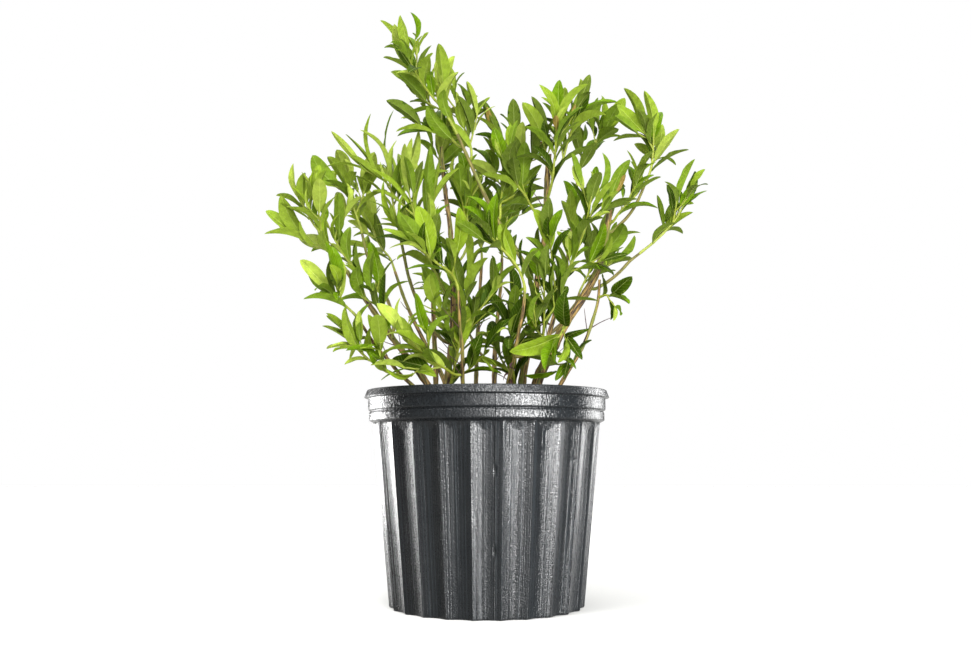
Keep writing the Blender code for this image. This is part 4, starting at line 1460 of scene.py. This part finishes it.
def scattered(count, luck, length, flatness, roughness):
    """Crumbs strewn over the mix, turned every way but mostly lying flat."""
    pile = Pile()
    for _ in range(count):
        size = luck.uniform(*length)
        sizes = (size, size * luck.uniform(*CRUMB_WIDTH), size * luck.uniform(*flatness))
        rings = crumb(luck, sizes, roughness)
        tilt = [luck.gauss(0, amount) for amount in CRUMB_TILT]
        turn = Euler((*tilt, luck.uniform(0, math.tau)))
        radius = STREWN_RADIUS * math.sqrt(luck.random())
        angle = luck.uniform(0, math.tau)
        place = (radius * math.cos(angle), radius * math.sin(angle))
        height = mix_surface(place) + sizes[2] * CRUMB_RISE
        pile.add_loft(rings @ np.array(turn.to_matrix()).T + np.array((*place, height)))
    return pile


# Limbs, shoots and leaves

def relief(centres, out):
    """Bark relief at each corner of a limb's rings: ribs that run along it."""
    finer, share = BARK_RIB_FINER
    rows = []
    for centre, ring in zip(centres, out):
        place = Vector(centre) * per_metre(BARK_RIB_MM)
        spots = [place + Vector(side) * BARK_RIB_TURNS for side in ring]
        rows.append([noise.noise(spot) + share * noise.noise(spot * finer) for spot in spots])
    return np.array(rows)


def straightened(along, radii, rows):
    """Where a limb's corners would lie on a straight one. The rings of its end add rows."""
    extra = rows - len(along)
    heights = np.append(along, [along[-1]] * extra)
    girths = np.append(radii, [radii[-1] / 2] * extra)
    rings = [level_ring(girth, height, LIMB_SIDES) for girth, height in zip(girths, heights)]
    return np.concatenate([*rings, [(0, 0, along[0]), (0, 0, along[-1])]])


def limb_pile(limb, luck, cut):
    """A cane or bough with ribbed bark, bud scars, and a cut or a rounded end."""
    along, centres, across, beside = limb.curve.frames(LIMB_STEP)
    radii = limb.curve.radius(along)
    swell = np.zeros(len(along))
    for index in range(int(limb.curve.length / SCAR_SPACING)):
        spot = (index + luck.uniform(*SCAR_PLACES)) * SCAR_SPACING
        swell += SCAR_SWELL * np.exp(-((along - spot) / SCAR_LENGTH)**2)
    out = outward(across, beside, LIMB_SIDES)
    lengths = radii[:, None] * (1 + swell[:, None] + BARK_RELIEF * relief(centres, out))
    rings = centres[:, None] + out * lengths[:, :, None]
    heading = np.array(Vector(centres[-1] - centres[-2]).normalized())
    if cut:
        slant = (rings[-1] - centres[-1]) @ across[-1] * CUT_SLANT
        rings[-1] += slant[:, None] * heading
    ends = [
        centres[-1] + heading * past * radii[-1] + (rings[-1] - centres[-1]) * girth
        for past, girth in (CUT_END if cut else ROUND_END)
    ]
    rings = np.concatenate([rings, ends])
    pile = Pile()
    pile.add_loft(rings, int(cut))
    pile.places.append(straightened(along + luck.random(), radii, len(rings)))
    return pile


def add_shoot(pile, shoot):
    """Put a green shoot or twig into a pile, thicker at its leaves' nodes."""
    along, centres, across, beside = shoot.curve.frames(SHOOT_STEP)
    radii = shoot.curve.radius(along)
    for spot in np.arange(NODE_LENGTH * 3, shoot.curve.length, LEAF_SPACING):
        radii = radii * (1 + NODE_SWELL * np.exp(-((along - spot) / NODE_LENGTH)**2))
    radii[-1] *= SHOOT_TIP
    pile.add_loft(centres[:, None] + outward(across, beside, SHOOT_SIDES) * radii[:, None, None])


@functools.cache
def leaf_grid():
    """Faces of one leaf: blade, underside and midrib, and the corners that its sides don't share."""
    rows, columns = len(LEAF_STATIONS), 2 * len(LEAF_STRIPS)
    upper = grid_faces(rows, columns)[:, ::-1]
    inner = np.zeros((rows, columns), bool)
    inner[1:-1, 1:-1] = True
    lower_index = np.arange(rows * columns).reshape(rows, columns)
    lower_index[inner] = rows * columns + np.arange(inner.sum())
    lower = lower_index.ravel()[grid_faces(rows, columns)]
    middle = np.tile(np.arange(columns - 1), rows - 1) == len(LEAF_STRIPS) - 1
    rib = np.concatenate([upper[middle], lower[middle]])
    return upper[~middle], lower[~middle], rib, inner.ravel()


def blade_profile(form):
    """Half width of a blade at each station, as a share of its widest."""
    rise, fall = BLADE_CURVES[form]
    t = np.clip((LEAF_STATIONS - PETIOLE_SHARE) / (1 - PETIOLE_SHARE), 0, 1)
    peak = rise / (rise + fall)
    return t**rise * (1 - t)**fall / (peak**rise * (1 - peak)**fall)


def leaf_corners(leaf, form, size):
    """Corners of a leaf's upper side, its underside, and the leaf laid out flat."""
    t = LEAF_STATIONS[:, None]
    strips = np.concatenate([-LEAF_STRIPS[::-1], LEAF_STRIPS])
    sign = np.repeat([-1.0, 1.0], len(LEAF_STRIPS))
    edge, middle = np.abs(strips), strips == 0
    # Half width at each station: the blade, then the stalk where that is wider, then the tip
    length = leaf.length * LENGTH_SCALE * size
    half = leaf.width * WIDTH_SCALE * size / 2 * blade_profile(form)[:, None]
    stalk = PETIOLE_HALF * (1 - smoothstep((t - PETIOLE_SHARE) / PETIOLE_FLARE))
    half = np.maximum(np.maximum(half, stalk), TIP_HALF)
    widest, narrowing = RIB_NARROWING
    rib = np.minimum(RIB_HALF * (widest - narrowing * t), half * RIB_SHARE)
    aside = sign * rib + strips * (half - rib)
    along = np.broadcast_to(t * length, aside.shape)
    laid = np.stack([along, aside, 0 * aside], -1)
    # The blade is folded up from its midrib, arched, drooping at its tip and wavy at its edge
    fold = math.sin(leaf.fold) * np.abs(aside) * (1 - EDGE_FLATTENING * edge)
    aside = aside * math.cos(leaf.fold)
    droop = leaf.droop * np.clip(t - DROOP_START, 0, 1)**2
    bend = length * (leaf.arch * 4 * t * (1 - t) - droop)
    turns = leaf.ripples * t + leaf.phase + EDGE_PHASE * sign
    lift = fold + leaf.wave * half * np.sin(math.tau * turns) * edge**2
    # Then it is twisted along its length and swayed to one side
    angle = leaf.twist * t
    sway = leaf.sway * length * t * (1 - t) * 4
    sideways = aside * np.cos(angle) - lift * np.sin(angle) + sway
    raised = bend + aside * np.sin(angle) + lift * np.cos(angle)
    body = BLADE_THICKNESS + PETIOLE_THICKNESS * (1 - smoothstep(t / PETIOLE_TAPER))
    ridge = RIB_RIDGE * (RIDGE_END - t) * middle
    axes = np.array((leaf.axis, leaf.side, leaf.face))
    upper = np.stack([along, sideways, raised - RIB_GROOVE * middle], -1) @ axes
    lower = np.stack([along, sideways, raised - body - ridge], -1) @ axes
    return upper.reshape(-1, 3), lower.reshape(-1, 3), laid.reshape(-1, 3)


def add_leaf(pile, leaf, form, size=1.0):
    """Put a leaf into a pile, with its root on its shoot's drawn curve."""
    blade, underside, rib, inner = leaf_grid()
    upper, lower, laid = leaf_corners(leaf, form, size)
    root = np.array(smooth_place(leaf.shoot, leaf.share))
    corners = np.concatenate([upper, lower[inner]]) + root
    pile.add(corners, (blade, 0), (underside, 1), (rib, 2))
    pile.places.append(np.concatenate([laid, laid[inner]]))


def shape_leaf(leaf, luck):
    """Give a leaf its own fold, droop, twist and wave."""
    leaf.fold = luck.uniform(*FOLD)
    leaf.droop = luck.uniform(*DROOP)
    if luck.random() < LIMP_SHARE:
        leaf.droop += luck.uniform(*LIMP_DROOP)
    leaf.twist = luck.gauss(0, TWIST)
    leaf.wave = luck.uniform(*WAVE)
    leaf.ripples = luck.uniform(*RIPPLES)
    leaf.phase = luck.random()
    leaf.sway = luck.gauss(0, SWAY)


def dry_scraps(limbs, luck):
    """Dry curled scraps that hang low on the canes."""
    scraps = []
    for _ in range(SCRAPS):
        limb = limbs[luck.choice(CANES)[0]]
        share = luck.uniform(*SCRAP_SHARES)
        point, direction, _ = limb.place(share)
        out = around(direction, luck.uniform(0, math.tau))
        axis = (out * SCRAP_HANG - UP * luck.uniform(0, SCRAP_HANG)).normalized()
        face = out + any_way(luck)
        length = luck.uniform(*SCRAP_LENGTH)
        scrap = Leaf(limb, share, point, axis, face, length, length * SCRAP_WIDTH, SCRAP_ARCH)
        shape_leaf(scrap, luck)
        scrap.fold = luck.uniform(*SCRAP_FOLD)
        scrap.droop = luck.uniform(*SCRAP_DROOP)
        scrap.twist = luck.uniform(*SCRAP_TWIST)
        scraps.append(scrap)
    return scraps


# Settings that a user would change

def colour_setting(name, description, code):
    """A colour property from an sRGB hex code."""
    return FloatVectorProperty(
        name=name, description=description, subtype="COLOR", size=4, min=0, max=1,
        default=linear(code),
    )


class BUSH_pot(bpy.types.PropertyGroup):
    """The moulded pot."""

    colour: colour_setting("Plastic", "Colour of the clean moulded wall", "#050607")
    scuffed: colour_setting("Scuffed", "Colour where handling dulled the wall", "#08090A")
    # Paler streaks along the draw marks, partly rubbed plastic and partly painted highlight
    rubbed_and_highlight: colour_setting("Rubbed", "Colour of the drawn streaks", "#131618")


class BUSH_mix(bpy.types.PropertyGroup):
    """The potting mix."""

    chips: IntProperty(name="Bark chips", description="Chips strewn on top", default=2600, min=0)
    grains: IntProperty(name="Perlite grains", description="White grains on top", default=240, min=0)
    peat: colour_setting("Peat", "Colour of the bed", "#38211F")
    chip: colour_setting("Bark chip", "Colour of the chips", "#4E322C")
    grain: colour_setting("Perlite", "Colour of the grains", "#E4E1D8")


class BUSH_bark(bpy.types.PropertyGroup):
    """The canes, the boughs and the dry scraps on them."""

    skin: colour_setting("Skin", "Dry outer bark of the canes", "#967A44")
    crack: colour_setting("Crack", "Inner bark in the splits", "#2C1E12")
    lichen: colour_setting("Green layer", "Green bark that shows between", "#6A742A")
    bough: colour_setting("Bough", "Outer bark of the younger boughs", "#7A7236")
    cut: colour_setting("Cut wood", "Wood at a pruning cut", "#C9AE84")
    dry: colour_setting("Dry scrap", "Dead leaves low in the bush", "#4A3230")


class BUSH_foliage(bpy.types.PropertyGroup):
    """The green shoots and the leaves."""

    leaf_length: FloatProperty(
        name="Leaf length", description="Length of a full-grown leaf", default=58 * MM,
        min=20 * MM, max=90 * MM, subtype="DISTANCE", unit="LENGTH",
    )
    shoot: colour_setting("Shoot", "Skin of the green shoots", "#848E2C")
    rib: colour_setting("Midrib", "Tint of the midrib", "#AEBA68")
    underside: colour_setting("Underside", "Waxy tint of the underside", "#84963C")
    # The leaf tones are dealt partly by where the light falls, so pale and deep are partly painted
    # light and shade
    pale: colour_setting("Pale leaf", "Leaves in full light", "#88983A")
    fresh: colour_setting("Fresh leaf", "Yellow-green leaves", "#6B801E")
    mid: colour_setting("Grown leaf", "Full-grown leaves", "#4E6A06")
    deep: colour_setting("Deep leaf", "Shaded and old leaves", "#2B3F03")
    bronze: colour_setting("Bronze leaf", "Tips that are still unfolding", "#8A6238")


class BUSH_studio(bpy.types.PropertyGroup):
    """The floor, the light and the camera."""

    floor: colour_setting("Floor", "Colour of the floor", "#C8C8C6")
    sky: FloatProperty(name="Overhead", description="Light from above", default=3.4, min=0)
    horizon: FloatProperty(name="Horizon", description="Light from the sides", default=0.15, min=0)
    backdrop: FloatProperty(name="Backdrop", description="Its brightness", default=1.0, min=0)
    key: FloatProperty(
        name="Key", description="Power of the large lamp above", default=44, min=0, unit="POWER",
    )
    lens: FloatProperty(
        name="Lens", description="Focal length", default=38.3, min=10, subtype="DISTANCE_CAMERA",
    )
    eye: FloatVectorProperty(
        name="Eye", description="Place of the camera", default=(-1.4 * MM, -1.19, 0.172),
        subtype="XYZ", unit="LENGTH",
    )
    tilt: FloatProperty(
        name="Tilt", description="Upward tilt of the camera", default=math.radians(6.87),
        subtype="ANGLE", unit="ROTATION",
    )


# Operators, one for each group of like pieces

class BUSH_OT_pot(bpy.types.Operator):
    """Build the fluted pot and its floor with the drain holes"""

    bl_idname = "bush.pot"
    bl_label = "Pot"

    def execute(self, context):
        plastic = [moulded_polyethylene(context.scene.bush_pot)]
        wall = pot_wall().build("pot_wall", plastic, POT_CREASE)
        slab, holes = Pile(), Pile()
        slab.add_loft(disc(FOOT_RING + FLOOR_OVERLAP, FLOOR_RISE, POT_FLOOR - GAP / 2, FLOOR_SIDES))
        for index in range(DRAIN_HOLES):
            angle = math.tau * index / DRAIN_HOLES
            centre = (DRAIN_CIRCLE * math.cos(angle), DRAIN_CIRCLE * math.sin(angle))
            holes.add_loft(disc(DRAIN_RADIUS, -POT_FLOOR, 3 * POT_FLOOR, HOLE_SIDES, centre))
        floor = slab.build("pot_floor", plastic, POT_CREASE)
        cut_away(floor, holes.build("drain_holes", plastic, POT_CREASE))
        for piece in (wall, floor):
            finish_piece(piece, "pot_plastic", "pot")
        return {"FINISHED"}


class BUSH_OT_mix(bpy.types.Operator):
    """Fill the pot with mix and strew bark chips and perlite on it"""

    bl_idname = "bush.mix"
    bl_label = "Potting mix"

    def execute(self, context):
        mix = context.scene.bush_mix
        chip_form = (CHIP_LENGTH, CHIP_FLATNESS, CHIP_UNEVENNESS)
        grain_form = (PERLITE_LENGTH, PERLITE_FLATNESS, PERLITE_UNEVENNESS)
        chips = scattered(mix.chips, draws("chips"), *chip_form)
        grains = scattered(mix.grains, draws("grains"), *grain_form)
        for name, pile, finish, colour in (
            ("mix_bed", mix_bed(), "milled_peat", mix.peat),
            ("mix_bark_chips", chips, "composted_bark", mix.chip),
            ("mix_perlite", grains, "expanded_perlite", mix.grain),
        ):
            item = pile.build(name, [grained(finish, colour)])
            finish_piece(item, "potting_mix", "potting_mix")
        return {"FINISHED"}


class BUSH_OT_limbs(bpy.types.Operator):
    """Build each cane and bough with its bark"""

    bl_idname = "bush.limbs"
    bl_label = "Canes and boughs"

    def execute(self, context):
        colours = context.scene.bush_bark
        limbs, _, _ = grow_plant(context.scene.bush_foliage.leaf_length)
        streak = between(colours.crack, colours.bough, BOUGH_STREAK)
        green = colours.lichen
        woody = split_bark("split_cane_bark", colours.skin, colours.crack, green, CANE_LICHEN)
        young = split_bark("young_bough_bark", colours.bough, streak, green, BOUGH_LICHEN)
        cut_wood = grained("pruned_wood", colours.cut)
        # Limbs with a bough or a spray on their end, which aren't cut there
        carrying = {row[1] for row in (*SPRAYS, *BOUGHS) if row[2] >= 1}
        boughs = {row[0] for row in BOUGHS}
        for number, (name, limb) in enumerate(limbs.items()):
            bark, slot = (young, "green_bark") if name in boughs else (woody, "bark")
            pile = limb_pile(limb, draws("bark", number), name not in carrying)
            finish_piece(pile.build(name + "_bark", [bark, cut_wood]), slot, name)
        return {"FINISHED"}


class BUSH_OT_shoots(bpy.types.Operator):
    """Build the green shoots and twigs of every spray"""

    bl_idname = "bush.shoots"
    bl_label = "Shoots"

    def execute(self, context):
        foliage = context.scene.bush_foliage
        _, sprays, _ = grow_plant(foliage.leaf_length)
        pile = Pile()
        for spray in sprays.values():
            for shoot in spray.shoots:
                add_shoot(pile, shoot)
        skin = grained("green_shoot_skin", foliage.shoot)
        finish_piece(pile.build("green_shoots", [skin]), "foliage", *sprays)
        return {"FINISHED"}


class BUSH_OT_leaves(bpy.types.Operator):
    """Build the leaves, one piece for each tone"""

    bl_idname = "bush.leaves"
    bl_label = "Leaves"

    def execute(self, context):
        foliage = context.scene.bush_foliage
        _, sprays, _ = grow_plant(foliage.leaf_length)
        luck = draws("blades")
        piles = {}
        for name, spray in sprays.items():
            size = SMALL_SCALE if name in SMALL_LEAVED else 1.0
            for leaf in spray.leaves:
                shape_leaf(leaf, luck)
                add_leaf(piles.setdefault(leaf.tone, Pile()), leaf, spray.form, size)
        for tone, pile in piles.items():
            colour = getattr(foliage, tone)
            under = between(colour, foliage.underside, UNDERSIDE_SHARE)
            rib = between(colour, foliage.rib, MIDRIB_SHARE)
            materials = [
                grained("waxy_leaf", colour, "_" + tone, rib),
                grained("leaf_underside", under, "_" + tone, rib),
                grained("leaf_midrib", rib, "_" + tone),
            ]
            finish_piece(pile.build("leaves_" + tone, materials, LEAF_CREASE), "foliage", *sprays)
        return {"FINISHED"}


class BUSH_OT_litter(bpy.types.Operator):
    """Hang dry curled scraps and dead twigs on the canes"""

    bl_idname = "bush.litter"
    bl_label = "Dry scraps and twigs"

    def execute(self, context):
        limbs, _, dry_twigs = grow_plant(context.scene.bush_foliage.leaf_length)
        dry = grained("dead_leaf", context.scene.bush_bark.dry)
        scraps, twigs = Pile(), Pile()
        for scrap in dry_scraps(limbs, draws("scraps")):
            add_leaf(scraps, scrap, "lance")
        for twig in dry_twigs:
            add_shoot(twigs, twig)
        finish_piece(scraps.build("dry_scraps", [dry, dry, dry], LEAF_CREASE), "foliage")
        finish_piece(twigs.build("dry_twigs", [dry]), "bark")
        return {"FINISHED"}


class BUSH_OT_studio(bpy.types.Operator):
    """Lay the floor and set the soft light and the camera"""

    bl_idname = "bush.studio"
    bl_label = "Studio"

    def execute(self, context):
        scene = context.scene
        studio = scene.bush_studio
        self.lay_floor(studio)
        self.light_backdrop(scene, studio)
        self.hang_lamps(studio)
        lens = bpy.data.cameras.new("photo_view")
        lens.lens = studio.lens
        camera = new_object("photo_view", lens)
        camera.location = studio.eye
        camera.rotation_euler = (math.pi / 2 + studio.tilt, 0, 0)
        scene.camera = camera
        scene.view_settings.view_transform = "Standard"
        return {"FINISHED"}

    def lay_floor(self, studio):
        """A plain pale floor."""
        floor = bpy.data.meshes.new("floor")
        ends = ((-1, -1), (1, -1), (1, 1), (-1, 1))
        corners = [(x * FLOOR_REACH, y * FLOOR_REACH, 0) for x, y in ends]
        floor.from_pydata(corners, [], [range(4)])
        floor.materials.append(grained("matt_paper", studio.floor))
        new_object("floor", floor)

    def light_backdrop(self, scene, studio):
        """Even light, strongest from overhead, before a white backdrop."""
        world = bpy.data.worlds.new("even_light")
        world.use_nodes = True
        tree = world.node_tree
        sky = tree.nodes["Background"]
        sky.inputs["Color"].default_value = (1, 1, 1, 1)
        seen = add_node(tree, "LightPath").outputs["Is Camera Ray"]
        facing = add_node(tree, "TexCoord").outputs["Generated"]
        height = add_node(tree, "SeparateXYZ", (facing,)).outputs["Z"]
        overhead = add_node(tree, "Math", (height, 2.0), operation="POWER")
        light = add_node(tree, "MapRange", (overhead, 0, 1, studio.horizon, studio.sky))
        strength = add_node(tree, "MapRange", (seen, 0, 1, light, studio.backdrop))
        tree.links.new(strength.outputs[0], sky.inputs["Strength"])
        scene.world = world

    def hang_lamps(self, studio):
        """Soft box lamps, some of which light the pot alone."""
        pot_pieces = bpy.data.collections.new("pot_pieces")
        for piece in POT_PIECES:
            pot_pieces.objects.link(bpy.data.objects[piece])
        for name, place, size, share, pot_alone in LAMPS:
            lamp = bpy.data.lights.new(name, "AREA")
            lamp.shape = "RECTANGLE"
            lamp.size, lamp.size_y = size
            lamp.energy = studio.key * share
            item = new_object(name, lamp)
            item.location = place
            item.rotation_euler = (LAMP_AIM - Vector(place)).to_track_quat("-Z", "Y").to_euler()
            item.visible_camera = False
            if pot_alone:
                item.light_linking.receiver_collection = pot_pieces


class BUSH_PT_panel(bpy.types.Panel):
    """Lists the pieces of the bush and their settings"""

    bl_idname = "BUSH_PT_panel"
    bl_label = "Blueberry bush"
    bl_space_type = "VIEW_3D"
    bl_region_type = "UI"
    bl_category = "Bush"

    def draw(self, context):
        for setting, group in SETTINGS.items():
            box = self.layout.box()
            for name in group.__annotations__:
                box.prop(getattr(context.scene, setting), name)
        for piece in PIECES:
            self.layout.operator(piece.bl_idname)


SETTINGS = {
    "bush_pot": BUSH_pot,
    "bush_mix": BUSH_mix,
    "bush_bark": BUSH_bark,
    "bush_foliage": BUSH_foliage,
    "bush_studio": BUSH_studio,
}
PIECES = (
    BUSH_OT_pot, BUSH_OT_mix, BUSH_OT_limbs, BUSH_OT_shoots, BUSH_OT_leaves, BUSH_OT_litter,
    BUSH_OT_studio,
)


def register():
    """Register the settings, the operators and the panel."""
    for group in (*SETTINGS.values(), *PIECES, BUSH_PT_panel):
        bpy.utils.register_class(group)
    for name, group in SETTINGS.items():
        setattr(bpy.types.Scene, name, PointerProperty(type=group))


def unregister():
    """Take all of it out again."""
    for name in SETTINGS:
        delattr(bpy.types.Scene, name)
    for group in (BUSH_PT_panel, *reversed(PIECES), *reversed(SETTINGS.values())):
        bpy.utils.unregister_class(group)


def main():
    """Build every piece."""
    register()
    for piece in PIECES:
        name = piece.bl_idname.split(".")[1]
        getattr(bpy.ops.bush, name)()


if __name__ == "__main__":
    main()
